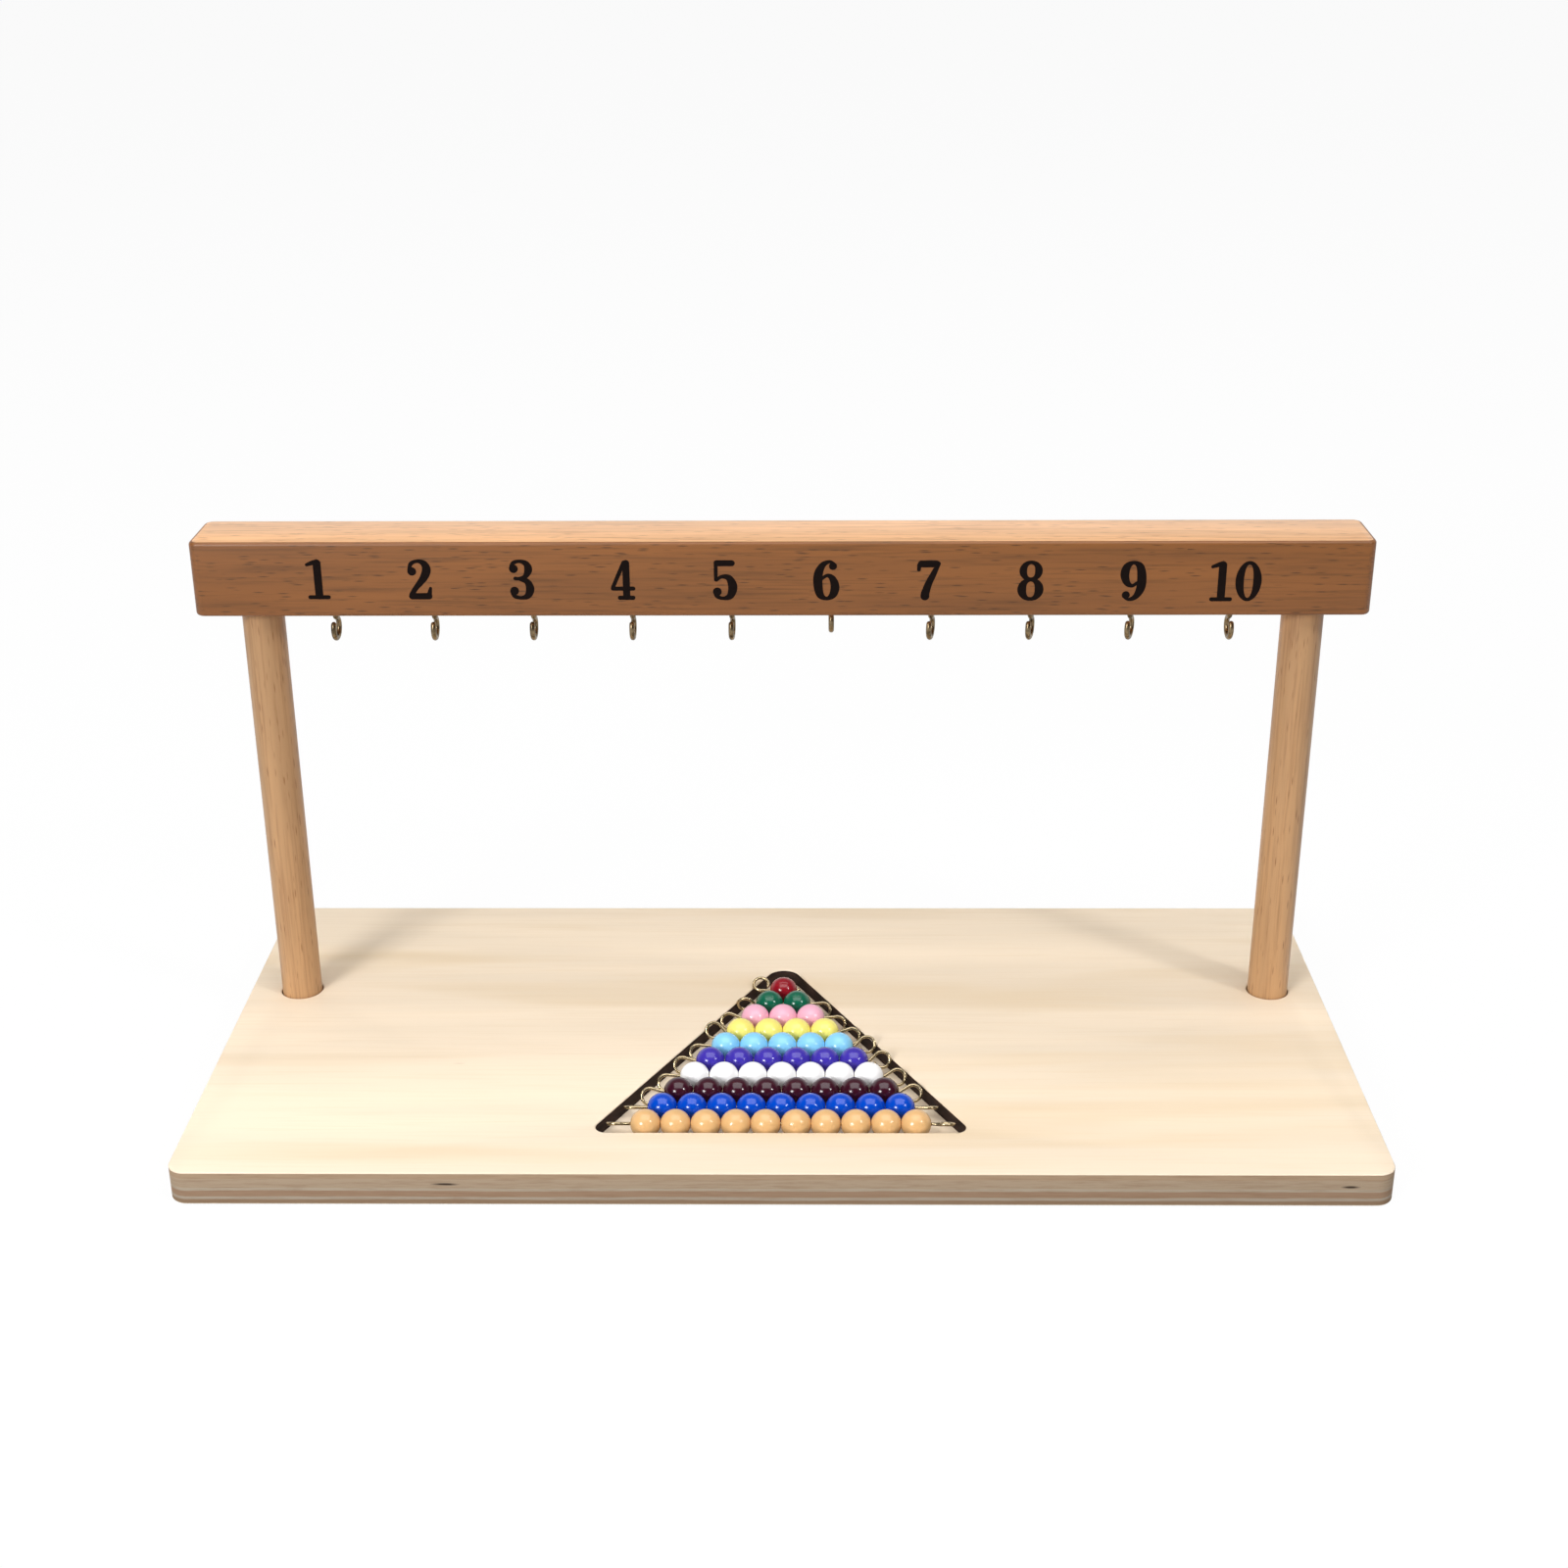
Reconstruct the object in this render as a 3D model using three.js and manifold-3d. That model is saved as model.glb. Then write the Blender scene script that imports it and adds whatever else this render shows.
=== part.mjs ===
// Counting rack: a plywood base with a triangular tray of ten bead bars, two posts and a beam of hooks.
// Millimetres, +Z up, front towards -Y, origin at the middle of the base's underside.

import * as THREE from "three";
import { mergeVertices } from "three/addons/utils/BufferGeometryUtils.js";
import Module from "manifold-3d";

const wasm = await Module();
wasm.setup();

// Beads
const BEAD_DIAMETER = 7.9;
const BEAD_LENGTH = 8.0;
const BEAD_RIM = 0.4;
const BEAD_BORE_CLEARANCE = 0.3;

// Bar wires, each with an eye bent at its end
const WIRE_DIAMETER = 0.8;
const EYE_RADIUS = 2.2;
const EYE_SWEEP_DEG = 290;
const EYE_BEND_GAP = 0.4;
const RIVET_DIAMETER = 2.2;
const RIVET_THICKNESS = 0.6;
const RIVET_CLEARANCE = 0.3;

// Places of the bars in the tray, and the room for an eye past the last bead
const BAR_GAP = 0.25;
const BAR_FLOOR_CLEARANCE = 0.3;
const TRAY_FRONT_CLEARANCE = 0.35;
const LONG_BAR_END_ROOM = 8.9;
const SHORT_BAR_END_ROOM = 5.8;
const TRAY_CORNER_RADIUS = 3;
const TRAY_APEX_RADIUS = 5;

// Base, two glued sheets of plywood
const BASE_WIDTH = 316.4;
const BASE_DEPTH = 151.5;
const BASE_CORNER_RADIUS = 5;
const TOP_PANEL_THICKNESS = 4.3;
const BOTTOM_PANEL_THICKNESS = 5.3;
const TRAY_FRONT_MARGIN = 19.4;

// Posts, plugged into the base and the beam
const POST_DIAMETER = 11.5;
const POST_CLEAR_HEIGHT = 120.4;
const POST_SIDE_MARGIN = 15;
const POST_BACK_MARGIN = 53.75;
const POST_SEAT_FLOOR = 3.6;
const POST_BEAM_DEPTH = 12;
const POST_CLEARANCE = 0.3;

// Beam
const BEAM_OVERHANG = 16;
const BEAM_DEPTH = 21.2;
const BEAM_HEIGHT = 20.8;
const BEAM_CORNER_RADIUS = 2.6;
const BEAM_EDGE_RADIUS = 1;

// Screw hooks under the beam
const HOOK_WIRE_DIAMETER = 1.5;
const HOOK_RING_RADIUS = 2.9;
const HOOK_NECK_RADIUS = 1;
const HOOK_TIP_ANGLE_DEG = 35;
const HOOK_DROP = 10.4;
const HOOK_SHANK_DEPTH = 9;
const HOOK_POST_MARGIN = 19.9;
const HOOK_HOLE_CLEARANCE = 0.3;

// Countersunk wood screws that hold the posts from below
const SCREW_LENGTH = 24;
const SCREW_SHANK_DIAMETER = 3.5;
const SCREW_HEAD_DIAMETER = 7;
const SCREW_RIM_THICKNESS = 0.5;
const SCREW_TIP_LENGTH = 4;
const SCREW_RECESS = 0.6;
const SCREW_CLEARANCE = 0.3;

// Facets
const BEAD_ARC_STEPS = 6;
const BEAD_SIDES = 12;
const EYE_STEPS = 10;
const WIRE_SIDES = 5;
const HOOK_RING_STEPS = 12;
const HOOK_NECK_STEPS = 3;
const HOOK_SIDES = 6;
const POST_SIDES = 24;
const SCREW_SIDES = 12;
const CORNER_STEPS = 5;
const EDGE_STEPS = 2;

// How far a cutting tool runs past the face that it opens, and how close corners count as one
const CUT_OVERRUN = 1;
const WELD_DISTANCE = 1e-4;

// One entry for each bar, shortest first. A bar has as many beads as its place in the list.
// Each eye leans back from upright by its own angle, as the bars lie loose in the tray. Its ring's
// middle lies out past the bead and off the wire's line, both given in ring radii.
// The single bead's wire is riveted over on its right side instead of having a second eye.
const BARS = [
  { colour: 0x8c1c26, left: { lean: 62, out: 1.23, off: 1 }, right: null },
  { colour: 0x1d6848, left: { lean: 163, out: 1.45, off: 0 }, right: { lean: -145, out: 1.64, off: 0.86 } },
  { colour: 0xf2c2cf, left: { lean: -150, out: 1.64, off: 0.45 }, right: { lean: -145, out: 1.75, off: 0.86 } },
  { colour: 0xf3e578, left: { lean: -150, out: 1.68, off: -0.18 }, right: { lean: -150, out: 1.73, off: 0.55 } },
  { colour: 0x72b8e8, left: { lean: -145, out: 1.77, off: 0.86 }, right: { lean: -150, out: 1.77, off: -0.23 } },
  { colour: 0x5a3fa8, left: { lean: -150, out: 1.77, off: 0.55 }, right: { lean: -150, out: 1.77, off: -0.18 } },
  { colour: 0xf6f6f8, left: { lean: -142, out: 1.77, off: 0.86 }, right: { lean: -150, out: 1.77, off: 0.14 } },
  { colour: 0x3a1820, left: { lean: -150, out: 1.77, off: 0.61 }, right: { lean: -150, out: 1.77, off: 0.18 } },
  { colour: 0x1452c4, left: { lean: 120, out: 1.77, off: 0.55 }, right: { lean: 120, out: 1.77, off: 0.55 } },
  { colour: 0xdfb480, left: { lean: 122, out: 1.77, off: 0.18 }, right: { lean: 118, out: 1.77, off: 0.09 } },
];

// One entry for each hook, from the left: its turn about the shank, and how much deeper it is driven.
const HOOKS = [
  { turn: -3, deeper: 0 },
  { turn: 0, deeper: 0 },
  { turn: -2, deeper: 0 },
  { turn: -1, deeper: 0 },
  { turn: -3, deeper: 0 },
  { turn: 0, deeper: 2.2 },
  { turn: -13, deeper: 0 },
  { turn: -16, deeper: 0 },
  { turn: -20, deeper: 0 },
  { turn: 2, deeper: 0 },
];

// Worked out from the sizes above
const beadRadius = BEAD_DIAMETER / 2;
const wireRadius = WIRE_DIAMETER / 2;
const boreRadius = wireRadius + BEAD_BORE_CLEARANCE;
const neckRadius = boreRadius + BEAD_RIM;
const postRadius = POST_DIAMETER / 2;
const postHoleRadius = postRadius + POST_CLEARANCE;
const hookWireRadius = HOOK_WIRE_DIAMETER / 2;
const screwShankRadius = SCREW_SHANK_DIAMETER / 2;
const screwHeadRadius = SCREW_HEAD_DIAMETER / 2;

const baseTop = BOTTOM_PANEL_THICKNESS + TOP_PANEL_THICKNESS;
const beamUnderside = baseTop + POST_CLEAR_HEIGHT;
const postTop = beamUnderside + POST_BEAM_DEPTH;
const postX = BASE_WIDTH / 2 - POST_SIDE_MARGIN;
const postY = BASE_DEPTH / 2 - POST_BACK_MARGIN;
const beamLength = 2 * (postX + BEAM_OVERHANG);

const barPitch = BEAD_DIAMETER + BAR_GAP;
const barHeight = BOTTOM_PANEL_THICKNESS + BAR_FLOOR_CLEARANCE + beadRadius;
const trayFront = -BASE_DEPTH / 2 + TRAY_FRONT_MARGIN;

const rack = new THREE.Group();

function finish(color, roughness, metalness) {
  return new THREE.MeshStandardMaterial({ color, roughness, metalness });
}

const beech = finish(0xbe8f62, 0.6, 0);
const plywood = finish(0xf0dfc4, 0.7, 0);
const bronze = finish(0x8a6a3c, 0.4, 1);
const brassWire = finish(0xc8b088, 0.3, 1);
const steel = finish(0xb4b4b6, 0.35, 1);

function addPiece(name, geometry, material, parent = rack) {
  const mesh = new THREE.Mesh(geometry, material);
  mesh.name = name;
  parent.add(mesh);
  return mesh;
}

// Boolean cuts and joins

function solidOf(geometry) {
  const bare = geometry.clone();
  bare.deleteAttribute("normal");
  bare.deleteAttribute("uv");
  const welded = mergeVertices(bare, WELD_DISTANCE);
  const vertProperties = new Float32Array(welded.attributes.position.array);
  const triVerts = new Uint32Array(welded.index.array);
  return new wasm.Manifold(new wasm.Mesh({ numProp: 3, vertProperties, triVerts }));
}

function geometryOf(solid) {
  const { vertProperties, triVerts } = solid.getMesh();
  const geometry = new THREE.BufferGeometry();
  geometry.setAttribute("position", new THREE.BufferAttribute(vertProperties, 3));
  geometry.setIndex(new THREE.BufferAttribute(triVerts, 1));
  geometry.computeVertexNormals();
  return geometry;
}

function cut(geometry, tools) {
  const left = tools.reduce((solid, tool) => solid.subtract(solidOf(tool)), solidOf(geometry));
  return geometryOf(left);
}

function join(geometry, addition) {
  return geometryOf(solidOf(geometry).add(solidOf(addition)));
}

// Outlines and turned shapes

// Rounds each corner of a polygon with an arc of that corner's radius.
function roundedOutline(corners) {
  const outline = [];
  corners.forEach((corner, index) => {
    const before = corners.at(index - 1).at;
    const after = corners[(index + 1) % corners.length].at;
    const toBefore = before.clone().sub(corner.at).normalize();
    const toAfter = after.clone().sub(corner.at).normalize();
    const half = Math.acos(toBefore.dot(toAfter)) / 2;
    const bisector = toBefore.clone().add(toAfter).normalize();
    const centre = corner.at.clone().addScaledVector(bisector, corner.radius / Math.sin(half));
    const start = corner.at.clone().addScaledVector(toBefore, corner.radius / Math.tan(half));
    const turn = Math.sign(toAfter.cross(toBefore)) * (Math.PI - 2 * half);
    for (let step = 0; step <= CORNER_STEPS; step += 1) {
      outline.push(start.clone().rotateAround(centre, (turn * step) / CORNER_STEPS));
    }
  });
  return outline;
}

function rectangleOutline(width, depth, radius) {
  const signs = [[-1, -1], [1, -1], [1, 1], [-1, 1]];
  const corners = signs.map(([x, y]) => ({
    at: new THREE.Vector2((x * width) / 2, (y * depth) / 2),
    radius,
  }));
  return roundedOutline(corners);
}

// A round bar that stands on a point and rises along Z.
function standingRod(x, y, bottom, top, radius, sides) {
  const rod = new THREE.CylinderGeometry(radius, radius, top - bottom, sides);
  rod.rotateX(Math.PI / 2);
  rod.translate(x, y, (bottom + top) / 2);
  return rod;
}

// A profile of [radius, height] pairs turned about a standing axis.
function turned(x, y, profile, sides) {
  const points = profile.map(([radius, height]) => new THREE.Vector2(radius, height));
  const form = new THREE.LatheGeometry(points, sides);
  form.rotateX(Math.PI / 2);
  form.translate(x, y, 0);
  return form;
}

// Bent wire

// A path whose cross-sections lie just where the wire bends, so its straight runs need none between.
class BentPath extends THREE.Curve {
  constructor(stations) {
    super();
    this.stations = stations;
  }

  stationAt(share) {
    return this.stations[Math.round(share * (this.stations.length - 1))];
  }

  getPoint(share) {
    return this.stationAt(share).point.clone();
  }

  getTangentAt(share) {
    return this.stationAt(share).heading.clone();
  }

  getSpacedPoints() {
    return this.stations.map((station) => station.point.clone());
  }
}

function bentWire(stations, diameter, sides) {
  const section = [];
  for (let side = 0; side < sides; side += 1) {
    const angle = (2 * Math.PI * side) / sides;
    section.push(new THREE.Vector2(Math.cos(angle), Math.sin(angle)).multiplyScalar(diameter / 2));
  }
  const extrudePath = new BentPath(stations);
  return new THREE.ExtrudeGeometry(new THREE.Shape(section), { steps: stations.length - 1, extrudePath });
}

// Base

// Half the tray's width beside a bar, with room for the eye at the bar's end.
function trayHalfWidth(beadCount, endRoom) {
  return (beadCount * BEAD_LENGTH) / 2 + endRoom;
}

function barY(beadCount) {
  const longestBarY = trayFront + TRAY_FRONT_CLEARANCE + beadRadius;
  return longestBarY + (BARS.length - beadCount) * barPitch;
}

// A triangle whose sides leave the shortest and the longest bar their own room.
function trayOutline() {
  const longHalf = trayHalfWidth(BARS.length, LONG_BAR_END_ROOM);
  const shortHalf = trayHalfWidth(1, SHORT_BAR_END_ROOM);
  const slope = (longHalf - shortHalf) / (barY(1) - barY(BARS.length));
  const apexY = barY(1) + shortHalf / slope;
  const frontHalf = (apexY - trayFront) * slope;
  return roundedOutline([
    { at: new THREE.Vector2(-frontHalf, trayFront), radius: TRAY_CORNER_RADIUS },
    { at: new THREE.Vector2(frontHalf, trayFront), radius: TRAY_CORNER_RADIUS },
    { at: new THREE.Vector2(0, apexY), radius: TRAY_APEX_RADIUS },
  ]);
}

function panelBlank(bottom, thickness, holes) {
  const shape = new THREE.Shape(rectangleOutline(BASE_WIDTH, BASE_DEPTH, BASE_CORNER_RADIUS));
  shape.holes = holes.map((outline) => new THREE.Path(outline));
  const panel = new THREE.ExtrudeGeometry(shape, { depth: thickness, bevelEnabled: false });
  panel.translate(0, 0, bottom);
  return panel;
}

function postSocket(x) {
  return standingRod(x, postY, POST_SEAT_FLOOR, baseTop + CUT_OVERRUN, postHoleRadius, POST_SIDES);
}

function baseTopPanel() {
  const blank = panelBlank(BOTTOM_PANEL_THICKNESS, TOP_PANEL_THICKNESS, [trayOutline()]);
  return cut(blank, [postSocket(-postX), postSocket(postX)]);
}

function baseBottomPanel() {
  const blank = panelBlank(0, BOTTOM_PANEL_THICKNESS, []);
  const tools = [-postX, postX].flatMap((x) => [postSocket(x), screwHole(x)]);
  return cut(blank, tools);
}

// Screws and posts

// A flat head with a thin rim and a 90 degree cone under it, then the shank.
function screwProfile(grow) {
  const head = screwHeadRadius + grow;
  const shank = screwShankRadius + grow;
  const rimTop = SCREW_RECESS + SCREW_RIM_THICKNESS;
  return [
    [head, rimTop],
    [shank, rimTop + head - shank],
  ];
}

function postScrew(x) {
  const tip = SCREW_RECESS + SCREW_LENGTH;
  const profile = [
    [0, SCREW_RECESS],
    [screwHeadRadius, SCREW_RECESS],
    ...screwProfile(0),
    [screwShankRadius, tip - SCREW_TIP_LENGTH],
    [0, tip],
  ];
  return turned(x, postY, profile, SCREW_SIDES);
}

function screwHole(x) {
  const end = SCREW_RECESS + SCREW_LENGTH + SCREW_CLEARANCE;
  const profile = [
    [0, -CUT_OVERRUN],
    [screwHeadRadius + SCREW_CLEARANCE, -CUT_OVERRUN],
    ...screwProfile(SCREW_CLEARANCE),
    [screwShankRadius + SCREW_CLEARANCE, end],
    [0, end],
  ];
  return turned(x, postY, profile, SCREW_SIDES);
}

function post(x) {
  const rod = standingRod(x, postY, POST_SEAT_FLOOR, postTop, postRadius, POST_SIDES);
  return cut(rod, [screwHole(x)]);
}

// Beam and hooks

function hookX(index) {
  const span = 2 * (postX - HOOK_POST_MARGIN);
  return -span / 2 + (span * index) / (HOOKS.length - 1);
}

function hookHole(hook, index) {
  const bottom = beamUnderside - CUT_OVERRUN;
  const top = beamUnderside + HOOK_SHANK_DEPTH + hook.deeper + HOOK_HOLE_CLEARANCE;
  return standingRod(hookX(index), postY, bottom, top, hookWireRadius + HOOK_HOLE_CLEARANCE, HOOK_SIDES);
}

function beam() {
  const outline = rectangleOutline(beamLength, BEAM_DEPTH, BEAM_CORNER_RADIUS);
  const blank = new THREE.ExtrudeGeometry(new THREE.Shape(outline), {
    depth: BEAM_HEIGHT - 2 * BEAM_EDGE_RADIUS,
    bevelThickness: BEAM_EDGE_RADIUS,
    bevelSize: BEAM_EDGE_RADIUS,
    bevelOffset: -BEAM_EDGE_RADIUS,
    bevelSegments: EDGE_STEPS,
  });
  blank.translate(0, postY, beamUnderside + BEAM_EDGE_RADIUS);
  const bottom = beamUnderside - CUT_OVERRUN;
  const sockets = [-postX, postX].map((x) => {
    return standingRod(x, postY, bottom, postTop, postHoleRadius, POST_SIDES);
  });
  return cut(blank, [...sockets, ...HOOKS.map(hookHole)]);
}

// The shank comes down, swings to the back on a small neck bend and runs round an open ring.
// The ring's tip stands in front, so a bar's eye goes on from there.
function hookStations(deeper) {
  const ringHeight = deeper - (HOOK_DROP - HOOK_RING_RADIUS - hookWireRadius);
  const centreDistance = HOOK_NECK_RADIUS + HOOK_RING_RADIUS;
  const neckHeight = ringHeight + Math.sqrt(centreDistance ** 2 - HOOK_NECK_RADIUS ** 2);
  const neckTurn = Math.acos(HOOK_NECK_RADIUS / centreDistance);
  const ringStart = Math.PI - neckTurn;
  const ringEnd = 2 * Math.PI + THREE.MathUtils.degToRad(HOOK_TIP_ANGLE_DEG);
  const stations = [];
  const add = (forward, height, forwardHeading, heightHeading) => {
    const point = new THREE.Vector3(0, -forward, height);
    const heading = new THREE.Vector3(0, -forwardHeading, heightHeading);
    stations.push({ point, heading });
  };
  add(0, deeper + HOOK_SHANK_DEPTH, 0, -1);
  for (let step = 0; step <= HOOK_NECK_STEPS; step += 1) {
    const angle = (-neckTurn * step) / HOOK_NECK_STEPS;
    const forward = HOOK_NECK_RADIUS * (Math.cos(angle) - 1);
    add(forward, neckHeight + HOOK_NECK_RADIUS * Math.sin(angle), Math.sin(angle), -Math.cos(angle));
  }
  for (let step = 1; step <= HOOK_RING_STEPS; step += 1) {
    const angle = ringStart + ((ringEnd - ringStart) * step) / HOOK_RING_STEPS;
    const forward = HOOK_RING_RADIUS * Math.cos(angle);
    add(forward, ringHeight + HOOK_RING_RADIUS * Math.sin(angle), -Math.sin(angle), Math.cos(angle));
  }
  return stations;
}

function addHook(hook, index) {
  const geometry = bentWire(hookStations(hook.deeper), HOOK_WIRE_DIAMETER, HOOK_SIDES);
  const mesh = addPiece(`hook_${index + 1}`, geometry, bronze);
  mesh.position.set(hookX(index), postY, beamUnderside);
  mesh.rotation.z = THREE.MathUtils.degToRad(hook.turn);
}

// Bead bars

// Beads threaded flat against each other: one turned profile of shallow ovals over a straight bore.
function beadStrand(beadCount) {
  const half = (beadCount * BEAD_LENGTH) / 2;
  const openAngle = Math.acos(neckRadius / beadRadius);
  const halfLength = BEAD_LENGTH / 2 / Math.sin(openAngle);
  const profile = [new THREE.Vector2(boreRadius, -half), new THREE.Vector2(neckRadius, -half)];
  for (let bead = 0; bead < beadCount; bead += 1) {
    const centre = -half + BEAD_LENGTH * (bead + 0.5);
    for (let step = 1; step <= BEAD_ARC_STEPS; step += 1) {
      const angle = openAngle * ((2 * step) / BEAD_ARC_STEPS - 1);
      const along = centre + halfLength * Math.sin(angle);
      profile.push(new THREE.Vector2(beadRadius * Math.cos(angle), along));
    }
  }
  profile.push(new THREE.Vector2(boreRadius, half), profile[0].clone());
  const strand = new THREE.LatheGeometry(profile, BEAD_SIDES);
  strand.rotateZ(-Math.PI / 2);
  return strand;
}

// Stations from the bar's end towards the eye's tip. Past the bead the wire bends towards the ring,
// meets it along a tangent and runs round it.
function eyeStations(beadCount, side, eye) {
  const lean = THREE.MathUtils.degToRad(eye.lean);
  const rise = new THREE.Vector3(0, Math.sin(lean), Math.cos(lean));
  const outward = new THREE.Vector3(side, 0, 0);
  const barEnd = (beadCount * BEAD_LENGTH) / 2;
  const fromCentre = new THREE.Vector2(EYE_BEND_GAP - eye.out * EYE_RADIUS, -eye.off * EYE_RADIUS);
  const ringStart = fromCentre.angle() + Math.acos(EYE_RADIUS / fromCentre.length());
  const stations = [];
  const add = (along, across, alongHeading, acrossHeading) => {
    const point = outward.clone().multiplyScalar(barEnd + along).addScaledVector(rise, across);
    const heading = outward.clone().multiplyScalar(alongHeading).addScaledVector(rise, acrossHeading);
    stations.push({ point, heading });
  };
  const halfBend = (ringStart - 1.5 * Math.PI) / 2;
  add(EYE_BEND_GAP, 0, Math.cos(halfBend), Math.sin(halfBend));
  for (let step = 0; step <= EYE_STEPS; step += 1) {
    const angle = ringStart + (THREE.MathUtils.degToRad(EYE_SWEEP_DEG) * step) / EYE_STEPS;
    const along = EYE_RADIUS * (eye.out + Math.cos(angle));
    const across = EYE_RADIUS * (eye.off + Math.sin(angle));
    add(along, across, -Math.sin(angle), Math.cos(angle));
  }
  return stations;
}

function reversed(stations) {
  return stations.toReversed().map(({ point, heading }) => ({ point, heading: heading.negate() }));
}

function rivetHead(beadCount) {
  const inner = (beadCount * BEAD_LENGTH) / 2 + RIVET_CLEARANCE;
  const radius = RIVET_DIAMETER / 2;
  const head = new THREE.CylinderGeometry(radius, radius, RIVET_THICKNESS, BEAD_SIDES);
  head.rotateZ(Math.PI / 2);
  head.translate(inner + RIVET_THICKNESS / 2, 0, 0);
  return head;
}

function barWire(beadCount, bar) {
  const left = reversed(eyeStations(beadCount, -1, bar.left));
  if (bar.right !== null) {
    const right = eyeStations(beadCount, 1, bar.right);
    return bentWire([...left, ...right], WIRE_DIAMETER, WIRE_SIDES);
  }
  const end = (beadCount * BEAD_LENGTH) / 2 + RIVET_CLEARANCE + RIVET_THICKNESS / 2;
  const stub = { point: new THREE.Vector3(end, 0, 0), heading: new THREE.Vector3(1, 0, 0) };
  return join(bentWire([...left, stub], WIRE_DIAMETER, WIRE_SIDES), rivetHead(beadCount));
}

function addBar(bar, index) {
  const beadCount = index + 1;
  const group = new THREE.Group();
  group.position.set(0, barY(beadCount), barHeight);
  addPiece(`bar_${beadCount}_wire`, barWire(beadCount, bar), brassWire, group);
  addPiece(`bar_${beadCount}_beads`, beadStrand(beadCount), finish(bar.colour, 0.15, 0), group);
  rack.add(group);
}

addPiece("base_bottom_panel", baseBottomPanel(), plywood);
addPiece("base_top_panel", baseTopPanel(), plywood);
addPiece("left_post", post(-postX), beech);
addPiece("right_post", post(postX), beech);
addPiece("left_post_screw", postScrew(-postX), steel);
addPiece("right_post_screw", postScrew(postX), steel);
addPiece("hook_beam", beam(), beech);
HOOKS.forEach(addHook);
BARS.forEach(addBar);

export default rack;
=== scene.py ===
"""Counting rack: coloured bead bars in a plywood tray, under a beech beam of numbered hooks.

Every mesh is in metres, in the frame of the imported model: +X right, +Y back, +Z up, base underside at zero.
"""

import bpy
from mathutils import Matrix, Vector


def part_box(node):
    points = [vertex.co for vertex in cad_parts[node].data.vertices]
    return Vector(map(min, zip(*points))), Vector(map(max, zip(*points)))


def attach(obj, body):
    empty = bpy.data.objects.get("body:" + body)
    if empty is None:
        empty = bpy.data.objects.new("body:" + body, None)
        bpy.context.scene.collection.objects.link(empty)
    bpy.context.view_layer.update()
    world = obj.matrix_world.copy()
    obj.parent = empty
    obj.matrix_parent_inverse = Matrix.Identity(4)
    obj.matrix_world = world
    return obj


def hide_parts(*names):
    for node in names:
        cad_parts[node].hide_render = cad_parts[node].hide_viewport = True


bl_info = {
    "name": "Bead Rack",
    "version": (1, 0, 0),
    "blender": (4, 5, 0),
    "location": "View3D > Sidebar > Bead Rack",
    "description": "Builds the visible pieces of a wooden counting rack around its packed model",
    "category": "Object",
}

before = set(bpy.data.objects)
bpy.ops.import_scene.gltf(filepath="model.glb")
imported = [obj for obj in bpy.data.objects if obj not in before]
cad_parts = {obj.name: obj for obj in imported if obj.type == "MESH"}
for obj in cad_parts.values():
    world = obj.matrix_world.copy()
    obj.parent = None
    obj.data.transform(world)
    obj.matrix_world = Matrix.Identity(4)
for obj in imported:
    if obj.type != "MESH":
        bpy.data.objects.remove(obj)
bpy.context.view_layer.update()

import math
import random

import bmesh
import bpy
from bpy.props import FloatProperty, FloatVectorProperty, PointerProperty
from mathutils import Matrix, Vector
from mathutils.geometry import delaunay_2d_cdt

MM = 0.001
FRAME_BODY = "rack_frame"
BAR_COUNT = 10
HOOK_COUNT = 10

# How far each hook is turned about its shank, in degrees, from the left
HOOK_TURNS = (-3, 0, -2, -1, -3, 0, -13, -16, -20, 2)

# Each bar's left and right eye, shortest bar first: its lean back from upright in degrees, and how far its
# ring's middle lies out past the bead and off the wire's line, both in ring radii
EYES = (
    ((62, 1.23, 1), None),
    ((163, 1.45, 0), (-145, 1.64, 0.86)),
    ((-150, 1.64, 0.45), (-145, 1.75, 0.86)),
    ((-150, 1.68, -0.18), (-150, 1.73, 0.55)),
    ((-145, 1.77, 0.86), (-150, 1.77, -0.23)),
    ((-150, 1.77, 0.55), (-150, 1.77, -0.18)),
    ((-142, 1.77, 0.86), (-150, 1.77, 0.14)),
    ((-150, 1.77, 0.61), (-150, 1.77, 0.18)),
    ((120, 1.77, 0.55), (120, 1.77, 0.55)),
    ((122, 1.77, 0.18), (118, 1.77, 0.09)),
)

# Record slot, sRGB colour and roughness of each bar's beads, shortest bar first
BEADS = (
    ("bead_red", "#901422", 0.16),
    ("bead_green", "#106248", 0.16),
    ("bead_pink", "#f5b5cc", 0.2),
    ("bead_yellow", "#ffee7c", 0.2),
    ("bead_sky_blue", "#8cd4fa", 0.2),
    ("bead_violet", "#4032a8", 0.16),
    ("bead_white", "#fcfcfd", 0.2),
    ("bead_brown", "#3a1020", 0.16),
    ("bead_blue", "#0046c0", 0.16),
    ("bead_gold", "#deb27a", 0.2),
)

# Fittings: names, clearances, small sizes and, in degrees, angles
POSTS = ("left_post", "right_post")
SCREWS = ("left_post_screw", "right_post_screw")
POST_CLEARANCE = 0.3 * MM
HOOK_CLEARANCE = 0.3 * MM
HOOK_NECK_RADIUS = 1 * MM
HOOK_TIP_ANGLE = 35
SCREW_CLEARANCE = 0.3 * MM
SCREW_SHANK_RADIUS = 1.75 * MM
SCREW_RIM = 1.1 * MM
SCREW_TIP = 4 * MM
SCREW_PITCH = 1.4 * MM
SCREW_THREAD = 0.45 * MM
SCREW_CROSS = 3.6 * MM
SCREW_SLOT = 0.8 * MM
EYE_BEND_GAP = 0.4 * MM
EYE_SWEEP = 290
RIVET_RADIUS = 1.1 * MM
RIVET_THICKNESS = 0.6 * MM
BEAD_RIM = 0.35 * MM
BEAD_BORE_CLEARANCE = 0.25 * MM
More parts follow.
